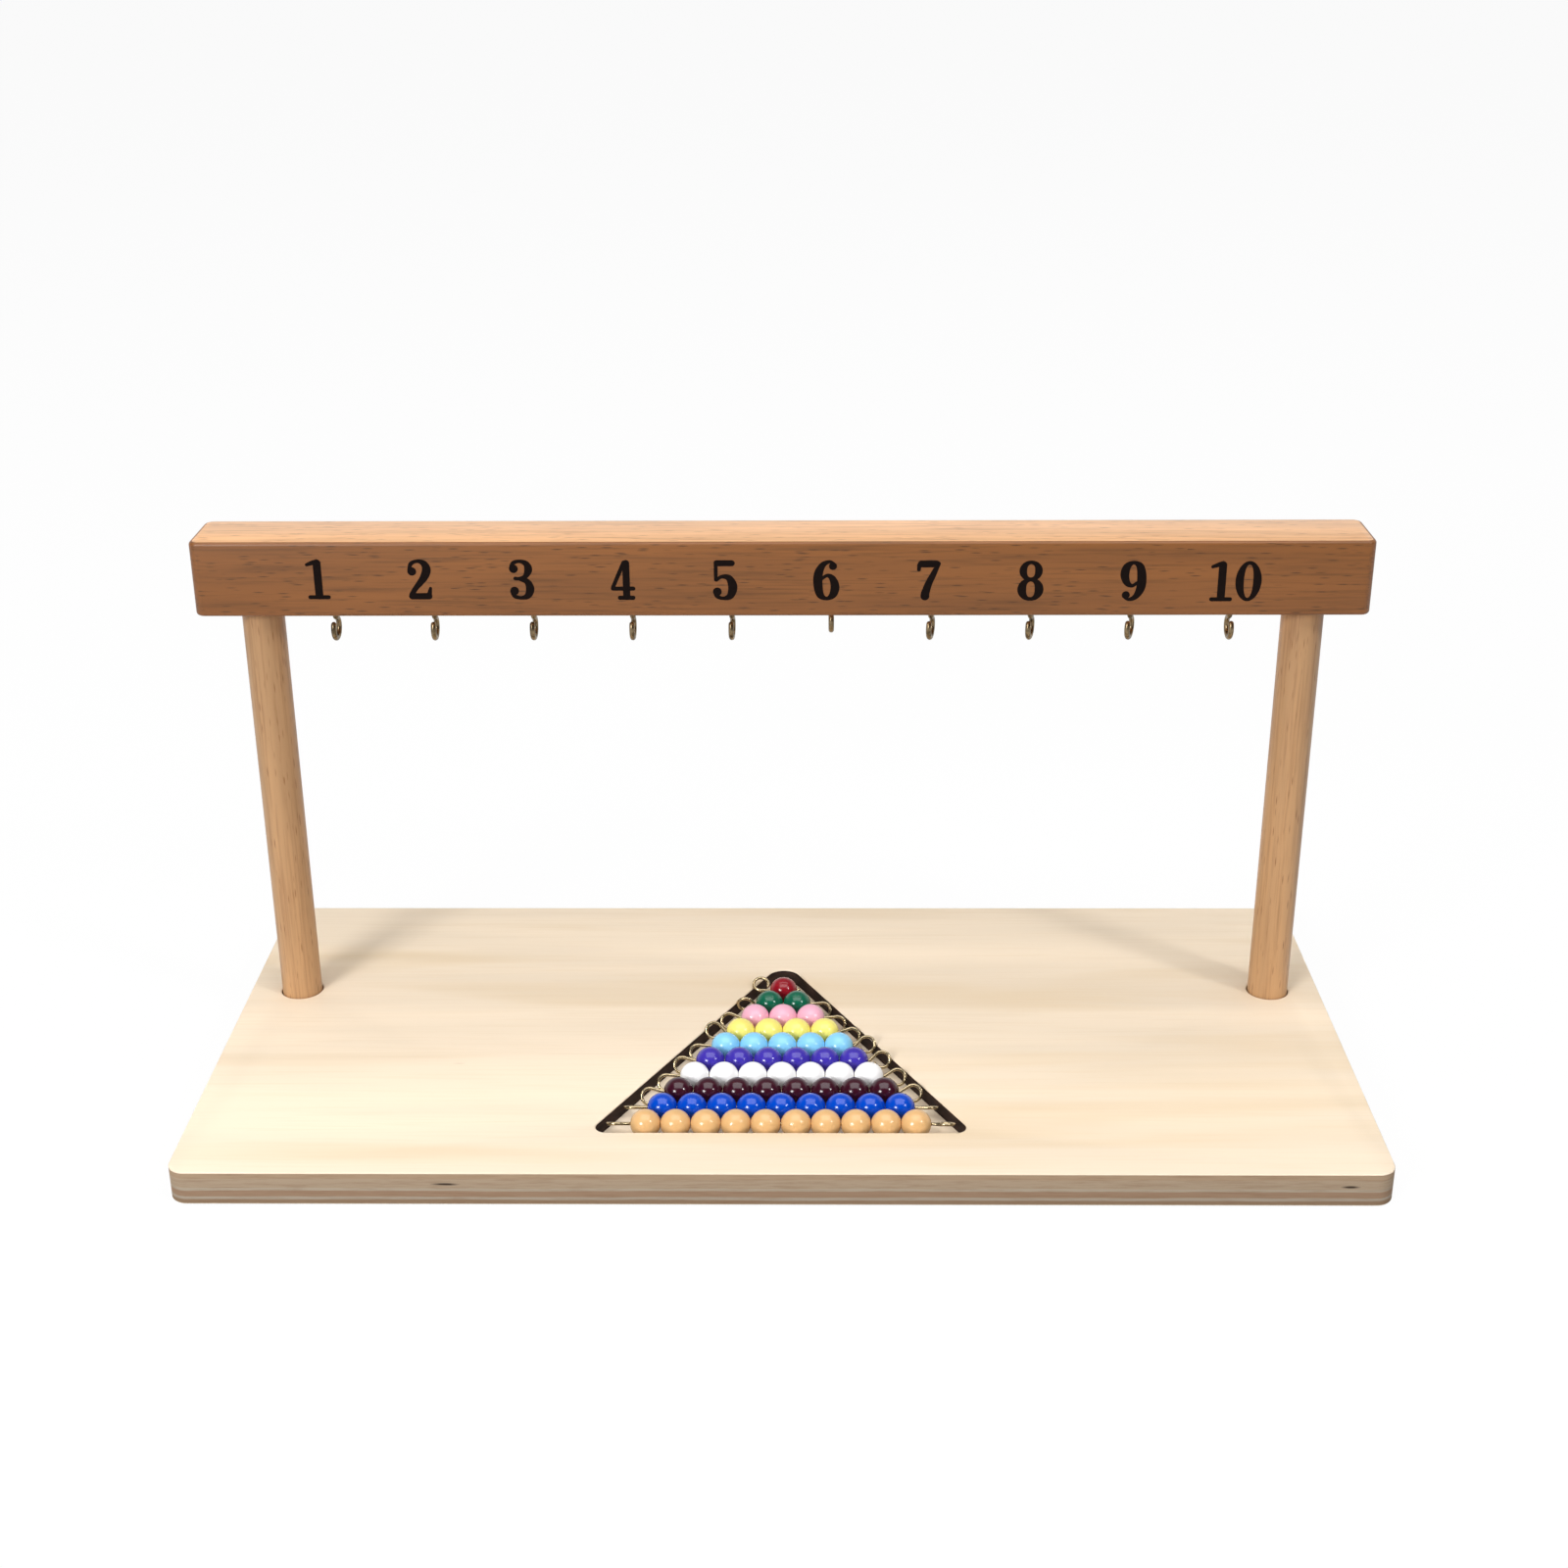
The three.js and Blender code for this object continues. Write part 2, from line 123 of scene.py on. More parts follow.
TRAY_FRONT_CLEARANCE = 0.35 * MM
LONG_BAR_END_ROOM = 8.9 * MM
SHORT_BAR_END_ROOM = 5.8 * MM
CUTTER_OVERLAP = 1 * MM
END_TOLERANCE = 0.01 * MM

# Shares: where a thread's root and crest lie in its pitch, how much of the rivet's thickness is domed, and
# how much of its free play a bead uses at most, with the seed of that draw
THREAD_ROOT = 0.3
THREAD_CREST = 0.8
RIVET_DOME = 0.8
BEAD_PLAY = 0.7
BEAD_SEED = 7

# Sides of round pieces and bores, and steps of curves
POST_SIDES = 96
BORE_SIDES = 64
SCREW_SIDES = 40
HOOK_SIDES = 16
HOOK_BORE_SIDES = 24
WIRE_SIDES = 12
RIVET_SIDES = 24
BEAD_SIDES = 44
DISC_SIDES = 24
HOOK_NECK_STEPS = 8
HOOK_RING_STEPS = 36
EYE_STEPS = 32
RIVET_STEPS = 6
BEAD_STEPS = 22

# Triangulation keeps only what lies inside the outlines. Tolerances are in metres for boards and in a digit's
# units for numerals, and a film's corners are welded within a share of its thickness.
INSIDE_ONLY = 1
BOARD_TOLERANCE = 1e-9
BOARD_WELD = 1e-7
NUMERAL_TOLERANCE = 1e-2
FILM_WELD = 1 / 20

# Numerals: sideways shift from their hooks, lift above the beam's middle and drop from one to the next
NUMERAL_SHIFT = -1.4 * MM
NUMERAL_RAISE = 0.3 * MM
NUMERAL_DROP = 0.1 * MM

# Plies of the base's edge, as the height in millimetres where each begins and its colour, and how far their
# seams wander up and down
PLIES = (
    (0, "#856e59"), (0.3, "#9b8065"), (1.5, "#b4a491"), (2.4, "#a6886e"),
    (4.2, "#b7a792"), (5.0, "#b39d84"), (7.7, "#b1977b"), (9.15, "#aa8e73"),
)
PLY_WANDER = 0.35 * MM

# Open voids in the plies of the base's front edge, each a dark patch whose darkness is painted shade: place
# across, height and half length in millimetres
VOIDS = ((-86, 6.2, 4.5), (146, 5.8, 3))
VOID_HALF_HEIGHT = 0.5

# Edges that bend more than this many degrees stay sharp
SHARP_ANGLE = 35

# Stage, in metres: small softboxes at the front left and the front right, and a wide one overhead. Each one's
# way points from the target to it. The frame of the camera is in millimetres.
WHITE = (1, 1, 1, 1)
FLOOR_SIZE = 16
FLOOR_GAP = 0.1 * MM
FLOOR_PAPER = "#f8f8f8"
FLOOR_BOUNCE = "#909090"
FLOOR_WHITENESS = 0.95
LIGHT_TARGET = Vector((0, 0, 0.04))
LIGHT_DISTANCE = 1.6
LEFT_LIGHT_WAY = Vector((-0.5, -0.75, 0.42))
RIGHT_LIGHT_WAY = Vector((0.63, -0.45, 0.6))
TOP_LIGHT_WAY = Vector((0, -0.15, 1))
LEFT_LIGHT_SIZE = (0.45, 0.45)
RIGHT_LIGHT_SIZE = (0.19, 0.24)
TOP_LIGHT_SIZE = (1.9, 1.5)
SENSOR_WIDTH = 36
CAMERA_PLACE = Vector((7.501, -548.648, 322.714)) * MM
CAMERA_PITCH = math.radians(23.381)
CAMERA_YAW = math.radians(0.71)
CAMERA_ROLL = math.radians(-0.299)


def linear(hex_colour):
    """Turns an sRGB hex value into the linear colour that a shader takes."""
    channels = [int(hex_colour[place:place + 2], 16) / 255 for place in (1, 3, 5)]
    return tuple(c / 12.92 if c <= 0.04045 else ((c + 0.055) / 1.055) ** 2.4 for c in channels)


def colour_property(name, description, hex_colour):
    """A colour that a user can change, with its default given as an sRGB hex value."""
    return FloatVectorProperty(
        name=name, description=description, default=linear(hex_colour), subtype="COLOR", min=0, max=1, size=3
    )


def size_property(name, description, millimetres):
    """A length that a user can change, with its default given in millimetres."""
    return FloatProperty(
        name=name, description=description, default=millimetres * MM, min=0, unit="LENGTH", precision=5
    )


def power_property(name, description, watts):
    """A lamp's power that a user can change."""
    return FloatProperty(name=name, description=description, default=watts, unit="POWER")


# Settings

class RackSizes(bpy.types.PropertyGroup):
    """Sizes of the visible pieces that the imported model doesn't fix."""

    base_edge: size_property("Base edge", "Rounding of the plywood's outer edges", 0.35)
    base_corner: size_property("Base corner", "Radius of the base's upright corners", 5)
    tray_corner: size_property("Tray corner", "Radius of the tray's two front corners", 3)
    tray_apex: size_property("Tray apex", "Radius of the tray's back corner", 5)
    beam_edge: size_property("Beam edge", "Rounding of the beam's long edges", 0.9)
    beam_corner: size_property("Beam corner", "Radius of the beam's upright corners", 2.6)
    post_chamfer: size_property("Post chamfer", "Chamfer at a post's ends", 0.4)
    bead_diameter: size_property("Bead diameter", "Diameter of a bead across its hole", 7.9)
    bead_length: size_property("Bead length", "Length of a bead along its hole", 7.85)
    wire_diameter: size_property("Wire diameter", "Diameter of a bar's wire", 0.9)
    eye_radius: size_property("Eye radius", "Radius of an eye's bend, at the middle of the wire", 2.2)
    hook_wire_diameter: size_property("Hook wire", "Diameter of a hook's wire", 1.5)
    hook_ring_radius: size_property("Hook ring", "Radius of a hook's ring, at the middle of the wire", 2.9)
    numeral_height: size_property("Numeral height", "Height of the numerals on the beam", 11.3)
    ink_thickness: size_property("Ink thickness", "Thickness of the printed ink", 0.04)


class RackColours(bpy.types.PropertyGroup):
    """Colours of the woods, metals and ink. Those of the plies and the beads are in the tables above."""

    plywood: colour_property("Plywood", "Face veneer of the base", "#f5e3ca")
    plywood_streak: colour_property("Plywood streak", "Faint tan streaks in the face veneer", "#e2c8a0")
    plywood_nick: colour_property("Plywood nick", "Dark nicks in the face veneer", "#8a6844")
    edge_fibre: colour_property("Edge fibre", "Dark end-grain fibres of the sawn edge", "#8a6648")
    # The voids are real gaps between the plies; their dark colour is painted shade.
    edge_void: colour_property("Edge void", "Open voids between the plies", "#2c1c10")
    # The beam's beech is given as two painted tones: the top and underside are painted lighter for the light
    # that falls on the top, and the front and back are darkened as painted shade.
    beam: colour_property("Beam", "Oiled beech of the beam's front and back", "#8a5526")
    beam_face: colour_property("Beam face", "Paler beech of the beam's top and underside", "#e8ae74")
    beam_fleck: colour_property("Beam fleck", "Fine ray flecks of the beam", "#50300f")
    post: colour_property("Post", "Plain beech of the posts", "#c4996d")
    post_fleck: colour_property("Post fleck", "Fine ray flecks of the posts", "#946640")
    char: colour_property("Char", "Burnt wall of the tray's cut", "#22130c")
    bronze: colour_property("Bronze", "Antique bronze of the hooks", "#8c7a5e")
    brass: colour_property("Brass", "Pale brass of the bar wires", "#c2b08c")
    steel: colour_property("Steel", "Zinc-plated steel of the screws", "#b8bac0")
    ink: colour_property("Ink", "Printed numerals", "#140c0a")


class RackStage(bpy.types.PropertyGroup):
    """Lights and camera."""

    left_power: power_property("Left light", "Power of the left softbox", 15.5)
    right_power: power_property("Right light", "Power of the right softbox", 5.4)
    top_power: power_property("Top light", "Power of the softbox overhead", 25)
    ambient: FloatProperty(
        name="Ambient", description="Strength of the even light all round", default=0.08, min=0
    )
    lens: FloatProperty(
        name="Lens", description="Focal length on a 36 mm frame", default=50.096, unit="CAMERA"
    )


# Mesh helpers

def even_shares(count):
    """Even steps from nought to one."""
    return [step / count for step in range(count + 1)]


def circle(x, y, radius, sides):
    """A round outline, counter-clockwise."""
    turns = [math.tau * side / sides for side in range(sides)]
    return [Vector((x + radius * math.cos(turn), y + radius * math.sin(turn))) for turn in turns]


def rounded_outline(corners, steps=12):
    """A polygon with an arc at each corner. Each corner is (point, radius)."""
    outline = []
    for index, (corner, radius) in enumerate(corners):
        to_before = (corners[index - 1][0] - corner).normalized()
        to_after = (corners[(index + 1) % len(corners)][0] - corner).normalized()
        half = math.acos(to_before.dot(to_after)) / 2
        centre = corner + (to_before + to_after).normalized() * (radius / math.sin(half))
        start = corner + to_before * (radius / math.tan(half)) - centre
        turn = math.copysign(math.pi - 2 * half, to_after.cross(to_before))
        for step in range(steps + 1):
            outline.append(centre + Matrix.Rotation(turn * step / steps, 2) @ start)
    return outline


def rectangle(low, high, radius):
    """A rectangle with round corners, counter-clockwise."""
    corners = ((low.x, low.y), (high.x, low.y), (high.x, high.y), (low.x, high.y))
    return rounded_outline([(Vector(corner), radius) for corner in corners])


def shifted(points, distance):
    """Moves a closed outline sideways: to the left of its direction, which is the material's side."""
    moved = []
    for index, here in enumerate(points):
        along = (here - points[index - 1]).normalized()
        onward = (points[(index + 1) % len(points)] - here).normalized()
        normal = Vector((-along.y, along.x))
        mitre = (normal + Vector((-onward.y, onward.x))).normalized()
        moved.append(here + mitre * (distance / mitre.dot(normal)))
    return moved


def edge_rings(bottom, top, bottom_edge, top_edge, steps=4):
    """Height and sideways shift of each ring up a board's side, round at both edges."""
    quarter = [math.pi / 2 * step / steps for step in range(steps + 1)]
    curve = [(1 - math.sin(angle), 1 - math.cos(angle)) for angle in quarter]
    rings = [(bottom + bottom_edge * rise, bottom_edge * shift) for rise, shift in curve[::-1]]
    rings += [(top - top_edge * rise, top_edge * shift) for rise, shift in curve]
    return [ring for index, ring in enumerate(rings) if index == 0 or ring != rings[index - 1]]


def numbered(loops):
    """The points of all loops in one list, and each loop as indices into it."""
    points = [point for loop in loops for point in loop]
    faces = []
    for loop in loops:
        first = sum(len(face) for face in faces)
        faces.append(list(range(first, first + len(loop))))
    return points, faces


def filled(loops):
    """Triangles over the first outline less the others, as points and index triples."""
    points, faces = numbered(loops)
    faces[1:] = [face[::-1] for face in faces[1:]]
    verts, _, triangles, _, _, sources = delaunay_2d_cdt(points, [], faces, INSIDE_ONLY, BOARD_TOLERANCE)
    return verts, [tri for tri, source in zip(triangles, sources) if list(source) == [0]]


def bridge(mesh, lower, upper):
    """Adds smooth faces between two rings of corners. A ring of one corner is a tip."""
    faces = []
    sides = max(len(lower), len(upper))
    for side in range(sides):
        following = (side + 1) % sides
        corners = []
        for ring, index in ((lower, side), (lower, following), (upper, following), (upper, side)):
            corner = ring[index % len(ring)]
            if corner not in corners:
                corners.append(corner)
        face = mesh.faces.new(corners)
        face.smooth = True
        faces.append(face)
    return faces


def board(outline, holes, bottom, top, bottom_edge, top_edge, edge_material=0):
    """A flat board with round edges, which take edge_material.

    Material 0 is its faces, 1 its side and 2 onward the holes' walls.
    """
    mesh = bmesh.new()
    loops = [outline] + [hole[::-1] for hole in holes]
    levels = edge_rings(bottom, top, bottom_edge, top_edge)
    for number, loop in enumerate(loops):
        rings = []
        for height, shift in levels:
            rings.append([mesh.verts.new((p.x, p.y, height)) for p in shifted(loop, shift)])
        for level, (lower, upper) in enumerate(zip(rings, rings[1:])):
            steep = levels[level][1] == levels[level + 1][1] == 0
            for wall in bridge(mesh, lower, upper):
                wall.material_index = number + 1 if steep else edge_material
    for height, shift, upward in ((levels[0][0], bottom_edge, False), (levels[-1][0], top_edge, True)):
        points, triangles = filled([shifted(loop, shift) for loop in loops])
        verts = [mesh.verts.new((p.x, p.y, height)) for p in points]
        for triangle in triangles:
            mesh.faces.new([verts[index] for index in (triangle if upward else triangle[::-1])])
    bmesh.ops.remove_doubles(mesh, verts=mesh.verts, dist=BOARD_WELD)
    return mesh


def add_turned(mesh, profile, place, sides, closed=False):
    """Adds a profile of (radius, along) pairs turned about place's Z axis."""
    rings = []
    for radius, along in profile:
        ring = circle(0, 0, radius, sides) if radius > 0 else [Vector((0, 0))]
        rings.append([mesh.verts.new(place @ Vector((point.x, point.y, along))) for point in ring])
    if closed:
        rings.append(rings[0])
    for lower, upper in zip(rings, rings[1:]):
        bridge(mesh, lower, upper)


def add_tube(mesh, path, radius, sides, cap_steps=4):
    """Adds a round wire along a path, with round ends."""
    legs = [(after - before).normalized() for before, after in zip(path, path[1:])]
    headings = [legs[0]] + [(a + b).normalized() for a, b in zip(legs, legs[1:])] + [legs[-1]]
    side = headings[0].orthogonal().normalized()
    sections = []
    for point, heading in zip(path, headings):
        side = (side - heading * side.dot(heading)).normalized()
        sections.append((point, heading, side, radius))
    caps = []
    for (point, heading, side, _), outward in ((sections[0], -radius), (sections[-1], radius)):
        cap = []
        for step in range(1, cap_steps):
            angle = math.pi / 2 * step / cap_steps
            middle = point + heading * outward * math.sin(angle)
            cap.append((middle, heading, side, radius * math.cos(angle)))
        caps.append(cap)
    turns = [math.tau * step / sides for step in range(sides)]
    rings = [[mesh.verts.new(path[0] - headings[0] * radius)]]
    for point, heading, side, size in caps[0][::-1] + sections + caps[1]:
        up = heading.cross(side)
        ring = [point + (side * math.cos(turn) + up * math.sin(turn)) * size for turn in turns]
        rings.append([mesh.verts.new(corner) for corner in ring])
    rings.append([mesh.verts.new(path[-1] + headings[-1] * radius)])
    for lower, upper in zip(rings, rings[1:]):
        bridge(mesh, lower, upper)


def upright(point):
    """The place of a turned shape that stands over a point, with its heights from zero."""
    return Matrix.Translation((point.x, point.y, 0))


def lengthwise(point):
    """The place of a turned shape that lies along X, with its middle at a point."""
    return Matrix.Translation(point) @ Matrix.Rotation(math.pi / 2, 4, "Y")


def round_piece(node):
    """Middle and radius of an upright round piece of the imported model, and the heights of its two ends."""
    low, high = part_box(node)
    return (low + high) / 2, (high.x - low.x) / 2, low.z, high.z


def mesh_object(name, mesh, materials=()):
    """Makes an object of the scene from a mesh, with its normals outward."""
    bmesh.ops.recalc_face_normals(mesh, faces=mesh.faces)
    data = bpy.data.meshes.new(name)
    mesh.to_mesh(data)
    mesh.free()
    for material in materials:
        data.materials.append(material)
    piece = bpy.data.objects.new(name, data)
    bpy.context.scene.collection.objects.link(piece)
    return piece


def finished(name, mesh, materials, node, body=FRAME_BODY):
    """Makes the object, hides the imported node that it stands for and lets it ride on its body."""
    piece = mesh_object(name, mesh, materials)
    piece.data.set_sharp_from_angle(angle=math.radians(SHARP_ANGLE))
    if node:
        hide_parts(node)
    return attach(piece, body)


def carve(piece, cutter_mesh):
    """Cuts a closed mesh out of a piece."""
    cutter = mesh_object("cutter", cutter_mesh)
    cut = piece.modifiers.new("cut", "BOOLEAN")
    cut.operation = "DIFFERENCE"
    cut.solver = "EXACT"
    cut.object = cutter
    result = bpy.data.meshes.new_from_object(piece.evaluated_get(bpy.context.evaluated_depsgraph_get()))
    piece.modifiers.remove(cut)
    result.set_sharp_from_angle(angle=math.radians(SHARP_ANGLE))
    piece.data = result
    bpy.data.objects.remove(cutter)


# Materials

def new_material(name):
    """A node material whose tree is still empty, and that tree."""
    material = bpy.data.materials.new(name)
    material.use_nodes = True
    material.node_tree.nodes.clear()
    return material, material.node_tree


def add_node(tree, kind, inputs=(), stops=(), **settings):
    """Adds a shader node with its settings. Inputs that are nodes or sockets are linked, others are set."""
    node = tree.nodes.new("ShaderNode" + kind)
    for key, value in settings.items():
        setattr(node, key, value)
    for place, (position, colour) in enumerate(stops):
        elements = node.color_ramp.elements
        element = elements[place] if place < len(elements) else elements.new(position)
        element.position = position
        element.color = opaque(colour)
    for key, value in dict(inputs).items():
        socket = next(socket for socket in node.inputs if key in (socket.identifier, socket.name))
        if isinstance(value, bpy.types.Node):
            value = next(output for output in value.outputs if output.enabled)
        if isinstance(value, bpy.types.NodeSocket):
            tree.links.new(value, socket)
        else:
            socket.default_value = value
    return node


def opaque(colour):
    """A colour with full alpha, as shader sockets take it."""
    return (*colour, 1)


def shade(colour, level):
    """A lighter or darker tone of a colour."""
    return opaque(min(channel * level, 1) for channel in colour)


def in_cells(tree, cell):
    """Object coordinates in which one unit is a cell of the given size in millimetres."""
    place = add_node(tree, "TexCoord").outputs["Object"]
    scale = [1 / (size * MM) for size in cell]
    return add_node(tree, "Mapping", {"Vector": place, "Scale": scale})


def along_grain(tree, grain, along, across):
    """Coordinates for a pattern whose cells are long in the grain's direction."""
    return in_cells(tree, [along if axis == grain else across for axis in "xyz"])


def blended(tree, pattern, span, under, over, shares=(0, 1)):
    """Lays one colour over another, by a share that goes between two values as a pattern crosses a span."""
    share = add_node(tree, "MapRange", {
        "Value": pattern, "From Min": span[0], "From Max": span[1], "To Min": shares[0], "To Max": shares[1]})
    return add_node(tree, "Mix", {
        "Factor_Float": share, "A_Color": under, "B_Color": over}, data_type="RGBA")


def flecks(tree, cells, core, chosen):
    """One in the middle of each chosen cell, falling to nought between the core's two distances from it."""
    spots = add_node(tree, "TexVoronoi", {"Vector": cells, "Scale": 1})
    middle = add_node(tree, "MapRange", {
        "Value": spots, "From Min": core[0], "From Max": core[1], "To Min": 1, "To Max": 0})
    choice = add_node(tree, "MapRange", {
        "Value": spots.outputs["Color"], "From Min": chosen[0], "From Max": chosen[1]})
    return add_node(tree, "Math", {"Value": middle, "Value_001": choice}, operation="MULTIPLY")


def finish_material(tree, relief, inputs, strength, depth):
    """Ends a material with its shader, on which a pattern is a fine relief with a depth in millimetres."""
    bump = add_node(tree, "Bump", {"Height": relief, "Strength": strength, "Distance": depth * MM})
    shader = add_node(tree, "BsdfPrincipled", {**inputs, "Normal": bump})
    add_node(tree, "OutputMaterial", {"Surface": shader})


def beech(name, colour, fleck, grain, coat):
    """Planed beech under a satin oil: pinkish brown, fine lines, short dark ray flecks, a low-angle sheen."""
    material, tree = new_material(name)
    tone = add_node(tree, "TexNoise", {"Vector": along_grain(tree, grain, 90, 6), "Scale": 1, "Detail": 3})
    wood = blended(tree, tone, (0.34, 0.66), shade(colour, 1.1), shade(colour, 0.86))
    lines = add_node(tree, "TexNoise", {
        "Vector": along_grain(tree, grain, 26, 0.8), "Scale": 1, "Detail": 4, "Roughness": 0.6})
    lined = blended(tree, lines, (0.48, 0.72), wood, opaque(fleck), shares=(0, 0.55))
    rays = flecks(tree, along_grain(tree, grain, 5.5, 0.6), core=(0.12, 0.36), chosen=(0.5, 0.72))
    flecked = blended(tree, rays, (0, 1), lined, opaque(fleck), shares=(0, 0.95))
    gloss = add_node(tree, "MapRange", {"Value": lines, "To Min": 0.36, "To Max": 0.56})
    finish_material(tree, lines, {
        "Base Color": flecked, "Roughness": gloss, "IOR": 1.5,
        "Coat Weight": coat, "Coat Roughness": 0.28}, strength=0.3, depth=0.08)
    return material


def plywood_face(colours):
    """Sanded birch face veneer: pale cream, almost plain, with faint tan streaks and a few dark nicks."""
    material, tree = new_material("birch_face_veneer")
    pale = shade(colours.plywood, 1.05)
    deep = shade(colours.plywood, 0.93)
    tan = opaque(colours.plywood_streak)
    tone = add_node(tree, "TexNoise", {"Vector": along_grain(tree, "x", 240, 22), "Scale": 1, "Detail": 4})
    veneer = blended(tree, tone, (0.36, 0.64), pale, deep)
    streaks = add_node(tree, "TexNoise", {
        "Vector": along_grain(tree, "x", 150, 16), "Scale": 1, "Detail": 2, "Distortion": 0.4})
    streaked = blended(tree, streaks, (0.52, 0.76), veneer, tan, shares=(0, 0.5))
    # Real pores are about a tenth of a millimetre wide. These are as coarse as they need to be to show.
    pores = add_node(tree, "TexNoise", {"Vector": along_grain(tree, "x", 30, 0.9), "Scale": 1, "Detail": 3})
    grained = blended(tree, pores, (0.5, 0.75), streaked, tan, shares=(0, 0.18))
    nicks = flecks(tree, along_grain(tree, "x", 34, 7), core=(0.03, 0.09), chosen=(0.7, 0.74))
    nicked = blended(tree, nicks, (0, 1), grained, opaque(colours.plywood_nick), shares=(0, 0.55))
    gloss = add_node(tree, "MapRange", {"Value": pores, "To Min": 0.5, "To Max": 0.7})
    finish_material(tree, pores, {
        "Base Color": nicked, "Roughness": gloss, "IOR": 1.45}, strength=0.2, depth=0.06)
    return material


def plywood_edge(colours, thickness, front):
    """Sawn plywood edge: brown end-grain plies between paler ones, with a few voids painted dark as painted
    shade.
    """
    material, tree = new_material("sawn_plywood_edge")
    place = add_node(tree, "TexCoord").outputs["Object"]
    height = add_node(tree, "SeparateXYZ", {"Vector": place}).outputs["Z"]
    wander = add_node(tree, "TexNoise", {"Vector": in_cells(tree, (22, 22, 3)), "Scale": 1, "Detail": 3})
    wander_height = add_node(tree, "MapRange", {
        "Value": wander, "To Min": -PLY_WANDER, "To Max": PLY_WANDER})
    ply_height = add_node(tree, "Math", {"Value": height, "Value_001": wander_height}, operation="ADD")
    ply_share = add_node(tree, "MapRange", {"Value": ply_height, "From Max": thickness})
    plies = add_node(tree, "ValToRGB", {"Fac": ply_share}, stops=[
        (start * MM / thickness, linear(tone)) for start, tone in PLIES])
    plies.color_ramp.interpolation = "CONSTANT"
    fibres = add_node(tree, "TexNoise", {
        "Vector": in_cells(tree, (9, 9, 0.5)), "Scale": 1, "Detail": 4, "Roughness": 0.65})
    wood = blended(tree, fibres, (0.46, 0.72), plies, opaque(colours.edge_fibre), shares=(0, 0.4))
    # Each void is a flat dark patch: painted shade in place of a cut hole.
    for across, up, half_length in VOIDS:
        reach = Vector((half_length, half_length, VOID_HALF_HEIGHT)) * MM
        middle = Vector((across, front / MM, up)) * MM
        apart = add_node(tree, "VectorMath", {"Vector": place, "Vector_001": middle}, operation="SUBTRACT")
        scaled = add_node(tree, "VectorMath", {"Vector": apart, "Vector_001": reach}, operation="DIVIDE")
        far = add_node(tree, "VectorMath", {"Vector": scaled}, operation="LENGTH")
        ragged = add_node(tree, "Math", {"Value": far, "Value_001": fibres}, operation="ADD")
        wood = blended(tree, ragged, (0.8, 1.4), wood, opaque(colours.edge_void), shares=(0.95, 0))
    finish_material(tree, fibres, {
        "Base Color": wood, "Roughness": 0.75, "IOR": 1.45}, strength=0.5, depth=0.15)
    return material


def charred_cut(colours):
    """Laser-cut plywood wall: matt and almost black, with browner bands where the glue burnt less."""
    material, tree = new_material("charred_plywood_cut")
    bands = add_node(tree, "TexNoise", {"Vector": in_cells(tree, (5, 5, 0.8)), "Scale": 1, "Detail": 4})
    burnt = blended(tree, bands, (0.4, 0.75), opaque(colours.char), shade(colours.char, 3))
    finish_material(tree, bands, {
        "Base Color": burnt, "Roughness": 0.85, "IOR": 1.45}, strength=0.4, depth=0.1)
    return material


def drawn_metal(name, colour, roughness, tarnish, spread=0.1):
    """Drawn wire: fine draw marks that blur the shine, with darker tarnished patches."""
    material, tree = new_material(name)
    patches = add_node(tree, "TexNoise", {"Vector": in_cells(tree, (2, 2, 2)), "Scale": 1, "Detail": 3})
    tarnished = blended(
        tree, patches, (0.42, 0.68), opaque(colour), shade(colour, 0.22), shares=(0, tarnish))
    # Real draw marks are hundredths of a millimetre apart. These are as coarse as they need to be to show.
    marks = add_node(tree, "TexNoise", {"Vector": in_cells(tree, (0.3, 0.3, 0.3)), "Scale": 1, "Detail": 2})
    gloss = add_node(tree, "MapRange", {
        "Value": marks, "To Min": roughness - spread, "To Max": roughness + spread})
    finish_material(tree, marks, {
        "Base Color": tarnished, "Metallic": 1, "Roughness": gloss}, strength=0.15, depth=0.02)
    return material


def bead_plastic(name, hex_colour, roughness):
    """Moulded polystyrene, tumbled to a gloss: small sharp highlights on a surface that is never quite round.

    Polystyrene's IOR of 1.59 is matched down to 1.5, for the softer shine of these beads.
    """
    material, tree = new_material(name + "_polystyrene")
    colour = linear(hex_colour)
    swirl = add_node(tree, "TexNoise", {"Vector": in_cells(tree, (4, 4, 4)), "Scale": 1, "Detail": 2})
    swirled = blended(tree, swirl, (0, 1), shade(colour, 0.94), shade(colour, 1.06))
    finish_material(tree, swirl, {
        "Base Color": swirled, "Roughness": roughness, "IOR": 1.5}, strength=0.1, depth=0.1)
    return material


def printing_ink(colours):
    """Pad-printed ink: a thin, dead matt, warm black film, slightly mottled by the wood under it."""
    material, tree = new_material("pad_printed_ink")
    mottle = add_node(tree, "TexNoise", {"Vector": along_grain(tree, "x", 6, 0.7), "Scale": 1, "Detail": 3})
    mottled = blended(tree, mottle, (0, 1), shade(colours.ink, 0.7), shade(colours.ink, 1.5))
    shader = add_node(tree, "BsdfPrincipled", {
        "Base Color": mottled, "Roughness": 0.9, "IOR": 1.5, "Specular IOR Level": 0.1})
    add_node(tree, "OutputMaterial", {"Surface": shader})
    return material


def ray_kinds(tree):
    """One or nought for a ray from the camera, and likewise for one by a reflection or through glass."""
    path = add_node(tree, "LightPath").outputs
    mirrored = add_node(tree, "Math", {
        "Value": path["Is Glossy Ray"], "Value_001": path["Is Transmission Ray"]}, operation="MAXIMUM")
    return path["Is Camera Ray"], mirrored


